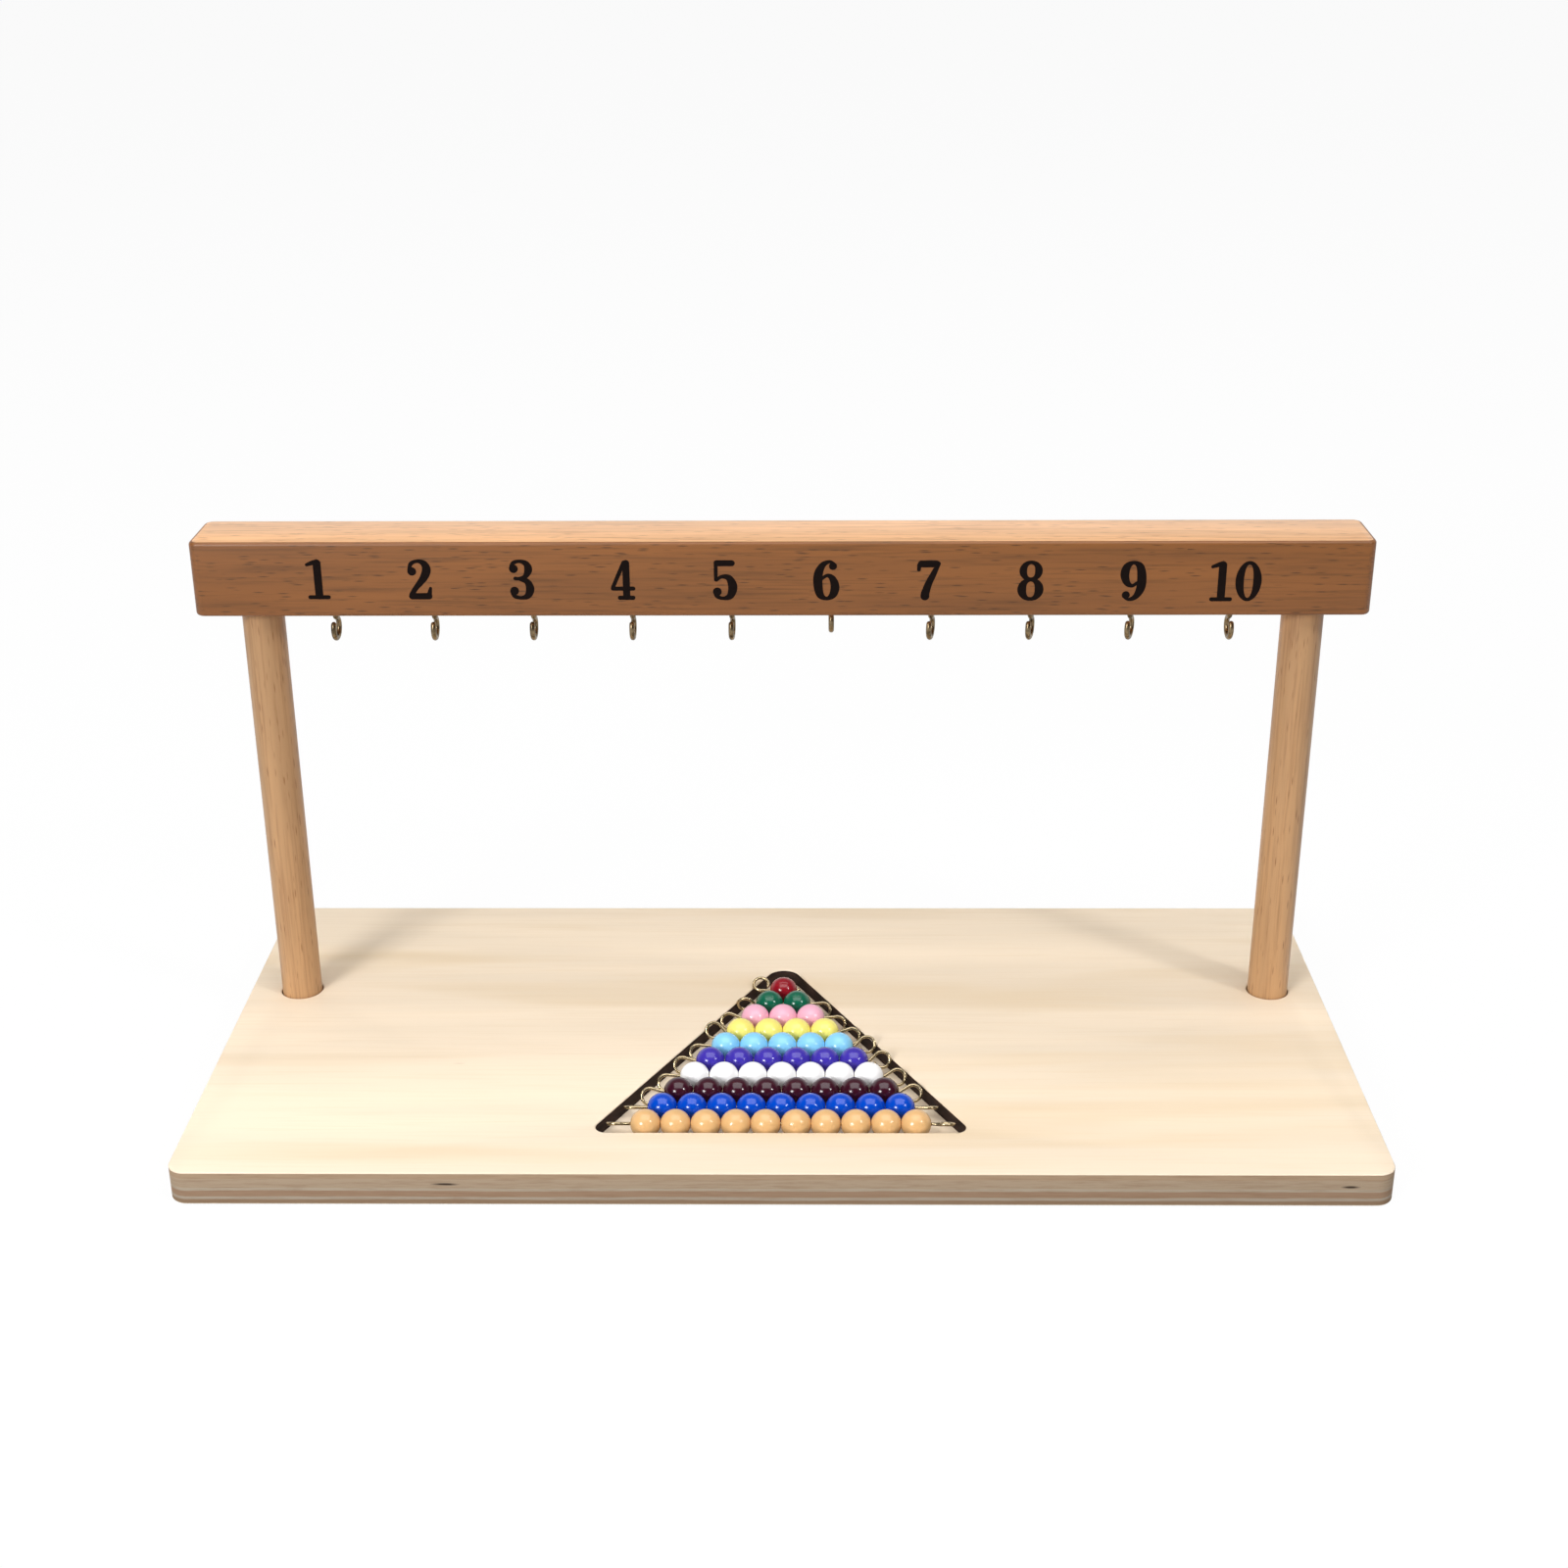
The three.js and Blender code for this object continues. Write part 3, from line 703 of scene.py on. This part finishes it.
def floor_paper():
    """Seamless white paper: it shows as white, keeps the object's soft shadow and returns little light."""
    material, tree = new_material("white_floor_paper")
    paper = add_node(tree, "BsdfDiffuse", {"Color": opaque(linear(FLOOR_PAPER))})
    bounce = add_node(tree, "BsdfDiffuse", {"Color": opaque(linear(FLOOR_BOUNCE))})
    white = add_node(tree, "Emission", {"Color": WHITE, "Strength": 1})
    shown = add_node(tree, "MixShader", {"Fac": FLOOR_WHITENESS, "Shader": paper, "Shader_001": white})
    from_camera, mirrored = ray_kinds(tree)
    seen = add_node(tree, "Math", {"Value": from_camera, "Value_001": mirrored}, operation="MAXIMUM")
    floor = add_node(tree, "MixShader", {"Fac": seen, "Shader": bounce, "Shader_001": shown})
    add_node(tree, "OutputMaterial", {"Surface": floor})
    return material


def studio_surround(ambient):
    """A dim studio with a white backdrop: white to the camera, and in reflections white only at the back."""
    world = bpy.data.worlds.new("studio_surround")
    world.use_nodes = True
    tree = world.node_tree
    tree.nodes.clear()
    from_camera, mirrored = ray_kinds(tree)
    way = add_node(tree, "TexCoord").outputs["Generated"]
    axes = add_node(tree, "SeparateXYZ", {"Vector": way})
    backdrop = add_node(tree, "MapRange", {
        "Value": axes.outputs["Y"], "From Min": 0, "From Max": 0.5}, interpolation_type="SMOOTHSTEP")
    low = add_node(tree, "MapRange", {
        "Value": axes.outputs["Z"], "From Min": 0.35, "From Max": 0.6, "To Min": 1, "To Max": 0.3})
    shine = add_node(tree, "Math", {"Value": backdrop, "Value_001": low}, operation="MULTIPLY")
    dim = add_node(tree, "MapRange", {"Value": mirrored, "To Min": ambient, "To Max": shine})
    strength = add_node(tree, "Math", {"Value": dim, "Value_001": from_camera}, operation="MAXIMUM")
    background = add_node(tree, "Background", {"Color": WHITE, "Strength": strength})
    add_node(tree, "OutputWorld", {"Surface": background})
    return world


# Numerals

def oval(x, y, across, up, side_width, end_width, count=16):
    """Knots of a closed oval stroke that is thick at its sides and thin at its top and bottom."""
    knots = []
    for step in range(count + 1):
        turn = math.tau * (step % count) / count
        width = end_width + (side_width - end_width) * math.cos(turn) ** 2
        knots.append((x + across * math.cos(turn), y + up * math.sin(turn), width))
    return knots


# Strokes of each digit as knots of place and half width, in digit units. A single knot is a round dot.
DIGIT_HEIGHT = 100
SIX = [
    [(15, 85, 9.5)],
    [(20, 88, 4), (8, 96, 4), (-8, 89, 7), (-19, 68, 10.5), (-20.5, 40, 11), (-15, 14, 9), (0, 4.5, 4.5),
     (15, 14, 9), (20, 34, 10.5), (14, 54, 8), (2, 62, 4.5), (-10, 55, 4)],
]
DIGITS = {
    "0": [oval(0, 50, 21, 45.7, 10, 4.3)],
    "1": [[(0, 90, 9.5), (0, 9, 9.5)], [(-24, 86, 4), (-10, 91, 5.5), (0, 96, 4)], [(-22, 5, 5), (22, 5, 5)]],
    "2": [
        [(-17, 70, 10.5)],
        [(-23.5, 73, 4), (-18, 89, 5), (-2, 95.5, 4.5), (13, 89, 8), (18, 73, 10.5), (9, 52, 9),
         (-9, 30, 6.5), (-21, 12, 6)],
        [(-20, 8, 8), (20, 8, 8)],
        [(21, 12, 6), (25, 28, 3.5)],
    ],
    "3": [
        [(-17, 77, 10.5)],
        [(-23.5, 79, 4), (-17, 91.5, 5), (-1, 95.5, 4.5), (14, 89, 7.5), (18, 74, 9.5), (10, 58, 6),
         (-4, 52.5, 4.5), (-14, 53, 4.5)],
        [(-4, 52, 4.5), (14, 45, 7.5), (20.5, 27, 10), (14, 10, 8), (-1, 4.5, 4.5), (-17, 8.5, 5),
         (-23.5, 20, 4)],
        [(-17, 22, 10.5)],
    ],
    "4": [
        [(8, 91, 8.5), (8, 8, 8.5)],
        [(3, 93, 5), (-24.3, 31.4, 4.6)],
        [(-24.1, 28.2, 5.1), (24, 28.2, 5.1)],
        [(-8.2, 5.3, 5.3), (23.1, 5.3, 5.3)],
    ],
    "5": [
        [(-18, 92, 7.5), (17, 92, 7.5)],
        [(-21, 94, 4.5), (-21, 51, 4.5)],
        [(-20, 50, 4), (-7, 58.5, 4.5), (10, 55, 8), (19, 34, 11), (13, 11, 8.5), (-3, 4.5, 4.5), (-18, 9, 5),
         (-24, 20, 4)],
        [(-18, 21, 10.5)],
    ],
    "6": SIX,
    "7": [
        [(-18, 91, 8.5), (18, 91, 8.5)],
        [(-23, 88, 5), (-23.5, 77, 4.5)],
        [(23, 92, 5), (12, 68, 7), (0, 42, 8.5), (-7, 20, 10), (-8, 11, 10.5)],
    ],
    "8": [oval(0, 74.5, 18.5, 21, 9, 4.5), oval(0, 28.5, 20.5, 24, 10.5, 4.5)],
    "9": [[(-x, DIGIT_HEIGHT - y, width) for x, y, width in stroke] for stroke in SIX],
}
DIGIT_PITCH = 63


def smooth(knots, steps=6):
    """Points of a curve through a stroke's knots, each with its half width as the third value."""
    if len(knots) == 1:
        return [Vector(knots[0])]
    closed = knots[0] == knots[-1]
    before, after = (knots[-2], knots[1]) if closed else (knots[0], knots[-1])
    guides = [Vector(knot) for knot in (before, *knots, after)]
    points = []
    for a, b, c, d in zip(guides, guides[1:], guides[2:], guides[3:]):
        for step in range(steps):
            t = step / steps
            bend = (2 * a - 5 * b + 4 * c - d) * t ** 2 + (3 * b - a - 3 * c + d) * t ** 3
            points.append((2 * b + (c - a) * t + bend) / 2)
    return points + [guides[-2]]


def stroke_outlines(points):
    """Outlines that cover a stroke: a disc at each end and a four-sided patch for each step."""
    outlines = [circle(end.x, end.y, end.z, DISC_SIDES) for end in (points[0], points[-1])]
    sides = []
    for index, point in enumerate(points):
        ahead = points[min(index + 1, len(points) - 1)]
        behind = points[max(index - 1, 0)]
        along = (ahead - behind).xy.normalized()
        across = Vector((-along.y, along.x)) * point.z
        sides.append((point.xy - across, point.xy + across))
    for (right, left), (next_right, next_left) in zip(sides, sides[1:]):
        outlines.append([right, next_right, next_left, left])
    return outlines


def numeral_outlines(text):
    """Outlines of all strokes of a numeral, centred on its middle."""
    outlines = []
    for place, digit in enumerate(text):
        offset = (place - (len(text) - 1) / 2) * DIGIT_PITCH
        for stroke in DIGITS[digit]:
            moved = [(x + offset, y, width) for x, y, width in stroke]
            outlines += stroke_outlines(smooth(moved))
    return outlines


def add_film(mesh, outlines, place, thickness):
    """Adds one flat film that covers all outlines together. The film rises along place's Z axis."""
    points, faces = numbered(outlines)
    flat, _, triangles, _, _, sources = delaunay_2d_cdt(points, [], faces, INSIDE_ONLY, NUMERAL_TOLERANCE)
    triangles = [tuple(triangle) for triangle, source in zip(triangles, sources) if source]
    used = sorted({index for triangle in triangles for index in triangle})
    low = {index: mesh.verts.new(place @ flat[index].to_3d()) for index in used}
    rise = place.to_3x3().normalized() @ Vector((0, 0, thickness))
    high = {index: mesh.verts.new(low[index].co + rise) for index in used}
    edges = {(a, b) for t in triangles for a, b in zip(t, t[1:] + t[:1])}
    for a, b, c in triangles:
        mesh.faces.new((high[a], high[b], high[c]))
        mesh.faces.new((low[c], low[b], low[a]))
    for a, b in edges:
        if (b, a) not in edges:
            mesh.faces.new((low[a], low[b], high[b], high[a]))
    bmesh.ops.remove_doubles(mesh, verts=mesh.verts, dist=thickness * FILM_WELD)


# Wire paths

def hook_path(top, ring_bottom, turn, sizes):
    """The shank comes down, swings to the back on a small bend and runs round an open ring."""
    ring = sizes.hook_ring_radius
    ring_height = ring_bottom + ring + sizes.hook_wire_diameter / 2
    neck_height = ring_height + math.sqrt((HOOK_NECK_RADIUS + ring) ** 2 - HOOK_NECK_RADIUS ** 2)
    neck_turn = math.acos(HOOK_NECK_RADIUS / (HOOK_NECK_RADIUS + ring))
    ring_start = math.pi - neck_turn
    ring_turn = math.pi + neck_turn + math.radians(HOOK_TIP_ANGLE)
    flat = [Vector((0, top.z))]
    for share in even_shares(HOOK_NECK_STEPS):
        angle = -neck_turn * share
        bend = Vector((math.cos(angle) - 1, math.sin(angle))) * HOOK_NECK_RADIUS
        flat.append(bend + Vector((0, neck_height)))
    for share in even_shares(HOOK_RING_STEPS)[1:]:
        angle = ring_start + ring_turn * share
        flat.append(Vector((math.cos(angle), math.sin(angle))) * ring + Vector((0, ring_height)))
    swing = Matrix.Rotation(math.radians(turn), 3, "Z")
    middle = Vector((top.x, top.y, 0))
    return [middle + swing @ Vector((0, -forward, height)) for forward, height in flat]


def eye_path(end, side, eye, sizes):
    """From the bar's end along a tangent to its eye and round it, in a plane that leans back from upright."""
    lean, out, off = eye
    rise = Vector((0, math.sin(math.radians(lean)), math.cos(math.radians(lean))))
    outward = Vector((side, 0, 0))
    bend = Vector((EYE_BEND_GAP, 0))
    centre = Vector((out, off)) * sizes.eye_radius
    away = bend - centre
    ring_start = math.atan2(away.y, away.x) + math.acos(sizes.eye_radius / away.length)
    flat = [bend]
    for share in even_shares(EYE_STEPS):
        angle = ring_start + math.radians(EYE_SWEEP) * share
        flat.append(centre + Vector((math.cos(angle), math.sin(angle))) * sizes.eye_radius)
    return [end + outward * along + rise * across for along, across in flat]


def bar_row(number):
    """Middle and half length of a bar's beads."""
    low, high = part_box(f"bar_{number}_beads")
    return (low + high) / 2, (high.x - low.x) / 2


def shank_top(number):
    """Middle of the upper end of a hook's shank."""
    points = [vertex.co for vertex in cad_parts[f"hook_{number}"].data.vertices]
    top = max(point.z for point in points)
    ends = [point for point in points if point.z > top - END_TOLERANCE]
    return sum(ends, Vector()) / len(ends)


def tray_outline(sizes):
    """The triangle round the bars. Its sides leave room for the eyes of the longest and the shortest bar."""
    long_row, long_bar = bar_row(BAR_COUNT)
    short_row, short_bar = bar_row(1)
    long_half = long_bar + LONG_BAR_END_ROOM
    short_half = short_bar + SHORT_BAR_END_ROOM
    slope = (long_half - short_half) / (short_row.y - long_row.y)
    apex = short_row.y + short_half / slope
    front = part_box("bar_10_beads")[0].y - TRAY_FRONT_CLEARANCE
    half = (apex - front) * slope
    return rounded_outline([
        (Vector((-half, front)), sizes.tray_corner),
        (Vector((half, front)), sizes.tray_corner),
        (Vector((0, apex)), sizes.tray_apex),
    ])


# Operators

class PieceOperator:
    """What the operators share: they act on the open scene and can be undone."""

    bl_options = {"REGISTER", "UNDO"}


class RACK_OT_base(PieceOperator, bpy.types.Operator):
    """Builds the two plywood sheets of the base, the upper one with the tray's opening"""

    bl_idname = "rack.base"
    bl_label = "Base"

    def execute(self, context):
        sizes = context.scene.rack_sizes
        colours = context.scene.rack_colours
        low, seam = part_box("base_bottom_panel")
        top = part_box("base_top_panel")[1]
        face = plywood_face(colours)
        edge = plywood_edge(colours, top.z, low.y)
        outline = rectangle(low, top, sizes.base_corner)
        sockets = []
        for node in POSTS:
            middle, radius, floor, _ = round_piece(node)
            sockets.append((middle, radius + POST_CLEARANCE, floor))
        holes = [tray_outline(sizes)] + [circle(at.x, at.y, radius, BORE_SIDES) for at, radius, _ in sockets]
        upper = board(outline, holes, seam.z, top.z, 0, sizes.base_edge)
        woods = [face, edge, charred_cut(colours), edge, edge]
        finished("plywood_top_sheet", upper, woods, "base_top_panel")
        lower = board(outline, [], low.z, seam.z, sizes.base_edge, 0)
        sheet = finished("plywood_bottom_sheet", lower, [face, edge], "base_bottom_panel")
        cutter = bmesh.new()
        for (at, radius, floor), node in zip(sockets, SCREWS):
            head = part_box(node)[1].x - at.x + SCREW_CLEARANCE
            shank = SCREW_SHANK_RADIUS + SCREW_CLEARANCE
            add_turned(cutter, [
                (0, -CUTTER_OVERLAP), (head, -CUTTER_OVERLAP), (head, SCREW_RIM),
                (shank, SCREW_RIM + head - shank), (shank, floor),
                (radius, floor), (radius, top.z), (0, top.z),
            ], upright(at), BORE_SIDES)
        carve(sheet, cutter)
        return {"FINISHED"}


class RACK_OT_posts(PieceOperator, bpy.types.Operator):
    """Builds the two round posts"""

    bl_idname = "rack.posts"
    bl_label = "Posts"

    def execute(self, context):
        sizes = context.scene.rack_sizes
        colours = context.scene.rack_colours
        wood = beech("planed_beech_dowel", colours.post, colours.post_fleck, grain="z", coat=0.1)
        for node, screw in zip(POSTS, SCREWS):
            middle, radius, bottom, top = round_piece(node)
            chamfer = sizes.post_chamfer
            bore = SCREW_SHANK_RADIUS + SCREW_CLEARANCE
            bore_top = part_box(screw)[1].z + SCREW_CLEARANCE
            mesh = bmesh.new()
            add_turned(mesh, [
                (0, bore_top), (bore, bore_top), (bore, bottom),
                (radius - chamfer, bottom), (radius, bottom + chamfer),
                (radius, top - chamfer), (radius - chamfer, top), (0, top),
            ], upright(middle), POST_SIDES)
            finished(node + "_dowel", mesh, [wood], node)
        return {"FINISHED"}


class RACK_OT_screws(PieceOperator, bpy.types.Operator):
    """Builds the countersunk screws under the posts"""

    bl_idname = "rack.screws"
    bl_label = "Post screws"

    def execute(self, context):
        colours = context.scene.rack_colours
        zinc = drawn_metal("zinc_plated_steel", colours.steel, roughness=0.34, tarnish=0.15)
        for node in SCREWS:
            middle, head, bottom, tip = round_piece(node)
            shank = SCREW_SHANK_RADIUS
            neck = SCREW_RIM + head - shank
            profile = [(0, bottom), (head, bottom), (head, SCREW_RIM), (shank, neck)]
            for turn in range(int((tip - SCREW_TIP - neck) / SCREW_PITCH)):
                start = neck + turn * SCREW_PITCH
                profile.append((shank - SCREW_THREAD, start + SCREW_PITCH * THREAD_ROOT))
                profile.append((shank, start + SCREW_PITCH * THREAD_CREST))
            profile += [(shank - SCREW_THREAD, tip - SCREW_TIP), (0, tip)]
            mesh = bmesh.new()
            add_turned(mesh, profile, upright(middle), SCREW_SIDES)
            screw = finished(node + "_zinc", mesh, [zinc], node)
            at_head = Matrix.Translation((middle.x, middle.y, bottom))
            for along, across in ((SCREW_CROSS, SCREW_SLOT), (SCREW_SLOT, SCREW_CROSS)):
                cutter = bmesh.new()
                slot = at_head @ Matrix.Diagonal((along, across, 2 * SCREW_SLOT, 1))
                bmesh.ops.create_cube(cutter, size=1, matrix=slot)
                carve(screw, cutter)
        return {"FINISHED"}


class RACK_OT_beam(PieceOperator, bpy.types.Operator):
    """Builds the beam, bored for the posts and the hooks"""

    bl_idname = "rack.beam"
    bl_label = "Beam"

    def execute(self, context):
        sizes = context.scene.rack_sizes
        colours = context.scene.rack_colours
        low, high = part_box("hook_beam")
        # Painted light and shade: the top and underside take a paler copy of the beech, painted lighter for
        # the light from above, and the front and back a darker copy, painted shade.
        side = beech("beech_side_painted_shade", colours.beam, colours.beam_fleck, grain="x", coat=0.1)
        face = beech("beech_face_painted_light", colours.beam_face, colours.beam, grain="x", coat=0.6)
        outline = rectangle(low, high, sizes.beam_corner)
        mesh = board(outline, [], low.z, high.z, sizes.beam_edge, sizes.beam_edge, edge_material=1)
        beam = finished("beech_beam", mesh, [face, side], "hook_beam")
        bores = []
        for node in POSTS:
            middle, radius, _, top = round_piece(node)
            bores.append((middle, radius + POST_CLEARANCE, top, BORE_SIDES))
        hook_radius = sizes.hook_wire_diameter / 2 + HOOK_CLEARANCE
        for number in range(1, HOOK_COUNT + 1):
            end = shank_top(number)
            bores.append((end, hook_radius, end.z + HOOK_CLEARANCE, HOOK_BORE_SIDES))
        cutter = bmesh.new()
        start = low.z - CUTTER_OVERLAP
        for at, radius, top, sides in bores:
            profile = [(0, start), (radius, start), (radius, top), (0, top)]
            add_turned(cutter, profile, upright(at), sides)
        carve(beam, cutter)
        return {"FINISHED"}


class RACK_OT_numerals(PieceOperator, bpy.types.Operator):
    """Prints the numerals on the beam's front, above the hooks"""

    bl_idname = "rack.numerals"
    bl_label = "Numerals"

    def execute(self, context):
        sizes = context.scene.rack_sizes
        low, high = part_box("hook_beam")
        ink = printing_ink(context.scene.rack_colours)
        scale = sizes.numeral_height / DIGIT_HEIGHT
        bottom = (low.z + high.z - sizes.numeral_height) / 2 + NUMERAL_RAISE
        for number in range(1, HOOK_COUNT + 1):
            drop = NUMERAL_DROP * (number - 1)
            corner = Vector((shank_top(number).x + NUMERAL_SHIFT, low.y, bottom - drop))
            place = Matrix.Translation(corner) @ Matrix.Rotation(math.pi / 2, 4, "X") @ Matrix.Scale(scale, 4)
            mesh = bmesh.new()
            add_film(mesh, numeral_outlines(str(number)), place, sizes.ink_thickness)
            finished(f"numeral_{number}", mesh, [ink], None)
        return {"FINISHED"}


class RACK_OT_hooks(PieceOperator, bpy.types.Operator):
    """Builds the open screw hooks under the beam"""

    bl_idname = "rack.hooks"
    bl_label = "Hooks"

    def execute(self, context):
        sizes = context.scene.rack_sizes
        colours = context.scene.rack_colours
        bronze = drawn_metal("antique_bronze_wire", colours.bronze, roughness=0.36, tarnish=0.85)
        for number, turn in enumerate(HOOK_TURNS, 1):
            node = f"hook_{number}"
            path = hook_path(shank_top(number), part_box(node)[0].z, turn, sizes)
            mesh = bmesh.new()
            add_tube(mesh, path, sizes.hook_wire_diameter / 2, HOOK_SIDES)
            finished(f"bronze_hook_{number}", mesh, [bronze], node)
        return {"FINISHED"}


class RACK_OT_bar_wires(PieceOperator, bpy.types.Operator):
    """Builds the bars' wires with their bent eyes"""

    bl_idname = "rack.bar_wires"
    bl_label = "Bar wires"

    def execute(self, context):
        sizes = context.scene.rack_sizes
        colours = context.scene.rack_colours
        brass = drawn_metal("pale_brass_wire", colours.brass, roughness=0.26, tarnish=0.35)
        for number, (left, right) in enumerate(EYES, 1):
            node = f"bar_{number}_wire"
            middle, half = bar_row(number)
            left_end = middle - Vector((half, 0, 0))
            right_end = middle + Vector((half, 0, 0))
            path = eye_path(left_end, -1, left, sizes)[::-1]
            mesh = bmesh.new()
            if right is None:
                tip = Vector((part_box(node)[1].x, middle.y, middle.z))
                path.append(tip - Vector((RIVET_THICKNESS / 2, 0, 0)))
                profile = [(0, -RIVET_THICKNESS), (RIVET_RADIUS, -RIVET_THICKNESS)]
                for share in even_shares(RIVET_STEPS)[1:]:
                    angle = math.pi / 2 * share
                    dome = RIVET_THICKNESS * (math.sin(angle) - 1) * RIVET_DOME
                    profile.append((RIVET_RADIUS * math.cos(angle), dome))
                profile[-1] = (0, profile[-1][1])
                add_turned(mesh, profile, lengthwise(tip), RIVET_SIDES)
            else:
                path += eye_path(right_end, 1, right, sizes)
            add_tube(mesh, path, sizes.wire_diameter / 2, WIRE_SIDES)
            finished(f"brass_wire_{number}", mesh, [brass], node, f"bar_{number}")
        return {"FINISHED"}


class RACK_OT_beads(PieceOperator, bpy.types.Operator):
    """Builds the beads of each bar, with their holes"""

    bl_idname = "rack.beads"
    bl_label = "Beads"

    def execute(self, context):
        sizes = context.scene.rack_sizes
        chance = random.Random(BEAD_SEED)
        radius = sizes.bead_diameter / 2
        bore = sizes.wire_diameter / 2 + BEAD_BORE_CLEARANCE
        open_angle = math.acos((bore + BEAD_RIM) / radius)
        stretch = sizes.bead_length / 2 / math.sin(open_angle)
        half = sizes.bead_length / 2
        profile = [(bore, half - BEAD_RIM), (bore, BEAD_RIM - half)]
        for share in even_shares(BEAD_STEPS):
            angle = open_angle * (2 * share - 1)
            profile.append((radius * math.cos(angle), stretch * math.sin(angle)))
        for number, (slot, hex_colour, roughness) in enumerate(BEADS, 1):
            middle, half_bar = bar_row(number)
            pitch = 2 * half_bar / number
            mesh = bmesh.new()
            for bead in range(number):
                slack = (pitch - sizes.bead_length) / 2
                x = middle.x - half_bar + pitch * (bead + 0.5) + slack * chance.uniform(-BEAD_PLAY, BEAD_PLAY)
                place = lengthwise(Vector((x, middle.y, middle.z)))
                add_turned(mesh, profile, place, BEAD_SIDES, closed=True)
            plastic = bead_plastic(slot, hex_colour, roughness)
            finished(f"beads_{number}", mesh, [plastic], f"bar_{number}_beads", f"strand_{number}")
        return {"FINISHED"}


class RACK_OT_stage(PieceOperator, bpy.types.Operator):
    """Sets up the floor, the lights and the camera"""

    bl_idname = "rack.stage"
    bl_label = "Stage"

    def execute(self, context):
        scene = context.scene
        stage = scene.rack_stage
        mesh = bmesh.new()
        bmesh.ops.create_grid(mesh, x_segments=1, y_segments=1, size=FLOOR_SIZE / 2)
        floor = mesh_object("floor", mesh, [floor_paper()])
        floor.location.z = -FLOOR_GAP
        for name, way, size, power in (
            ("left_softbox", LEFT_LIGHT_WAY, LEFT_LIGHT_SIZE, stage.left_power),
            ("right_softbox", RIGHT_LIGHT_WAY, RIGHT_LIGHT_SIZE, stage.right_power),
            ("top_softbox", TOP_LIGHT_WAY, TOP_LIGHT_SIZE, stage.top_power),
        ):
            lamp = bpy.data.lights.new(name, "AREA")
            lamp.shape = "RECTANGLE"
            lamp.size, lamp.size_y = size
            lamp.energy = power
            light = bpy.data.objects.new(name, lamp)
            light.location = LIGHT_TARGET + way.normalized() * LIGHT_DISTANCE
            light.rotation_euler = way.to_track_quat("Z", "Y").to_euler()
            scene.collection.objects.link(light)
        scene.world = studio_surround(stage.ambient)
        camera_data = bpy.data.cameras.new("camera")
        camera_data.sensor_width = SENSOR_WIDTH
        camera_data.lens = stage.lens
        camera = bpy.data.objects.new("camera", camera_data)
        turned = Matrix.Rotation(CAMERA_YAW, 4, "Z")
        tilted = Matrix.Rotation(math.pi / 2 - CAMERA_PITCH, 4, "X")
        rolled = Matrix.Rotation(CAMERA_ROLL, 4, "Z")
        camera.matrix_world = Matrix.Translation(CAMERA_PLACE) @ turned @ tilted @ rolled
        scene.collection.objects.link(camera)
        scene.camera = camera
        scene.view_settings.view_transform = "Standard"
        return {"FINISHED"}


OPERATORS = (
    RACK_OT_base,
    RACK_OT_posts,
    RACK_OT_screws,
    RACK_OT_beam,
    RACK_OT_numerals,
    RACK_OT_hooks,
    RACK_OT_bar_wires,
    RACK_OT_beads,
    RACK_OT_stage,
)


class RACK_PT_panel(bpy.types.Panel):
    """Lists the rack's settings and the operators that build it"""

    bl_idname = "RACK_PT_panel"
    bl_label = "Bead Rack"
    bl_space_type = "VIEW_3D"
    bl_region_type = "UI"
    bl_category = "Bead Rack"

    def draw(self, context):
        for operator in OPERATORS:
            self.layout.operator(operator.bl_idname)
        for group in (context.scene.rack_sizes, context.scene.rack_colours, context.scene.rack_stage):
            box = self.layout.box()
            for name in group.__annotations__:
                box.prop(group, name)


SETTINGS = {"rack_sizes": RackSizes, "rack_colours": RackColours, "rack_stage": RackStage}


def register():
    """Registers the settings, the operators and the panel."""
    for name, group in SETTINGS.items():
        bpy.utils.register_class(group)
        setattr(bpy.types.Scene, name, PointerProperty(type=group))
    for cls in (*OPERATORS, RACK_PT_panel):
        bpy.utils.register_class(cls)


def unregister():
    """Takes back everything that register adds."""
    for cls in (RACK_PT_panel, *reversed(OPERATORS)):
        bpy.utils.unregister_class(cls)
    for name, group in SETTINGS.items():
        delattr(bpy.types.Scene, name)
        bpy.utils.unregister_class(group)


def main():
    """Builds the rack piece by piece."""
    register()
    for operator in OPERATORS:
        group, name = operator.bl_idname.split(".")
        getattr(getattr(bpy.ops, group), name)()


if __name__ == "__main__":
    main()
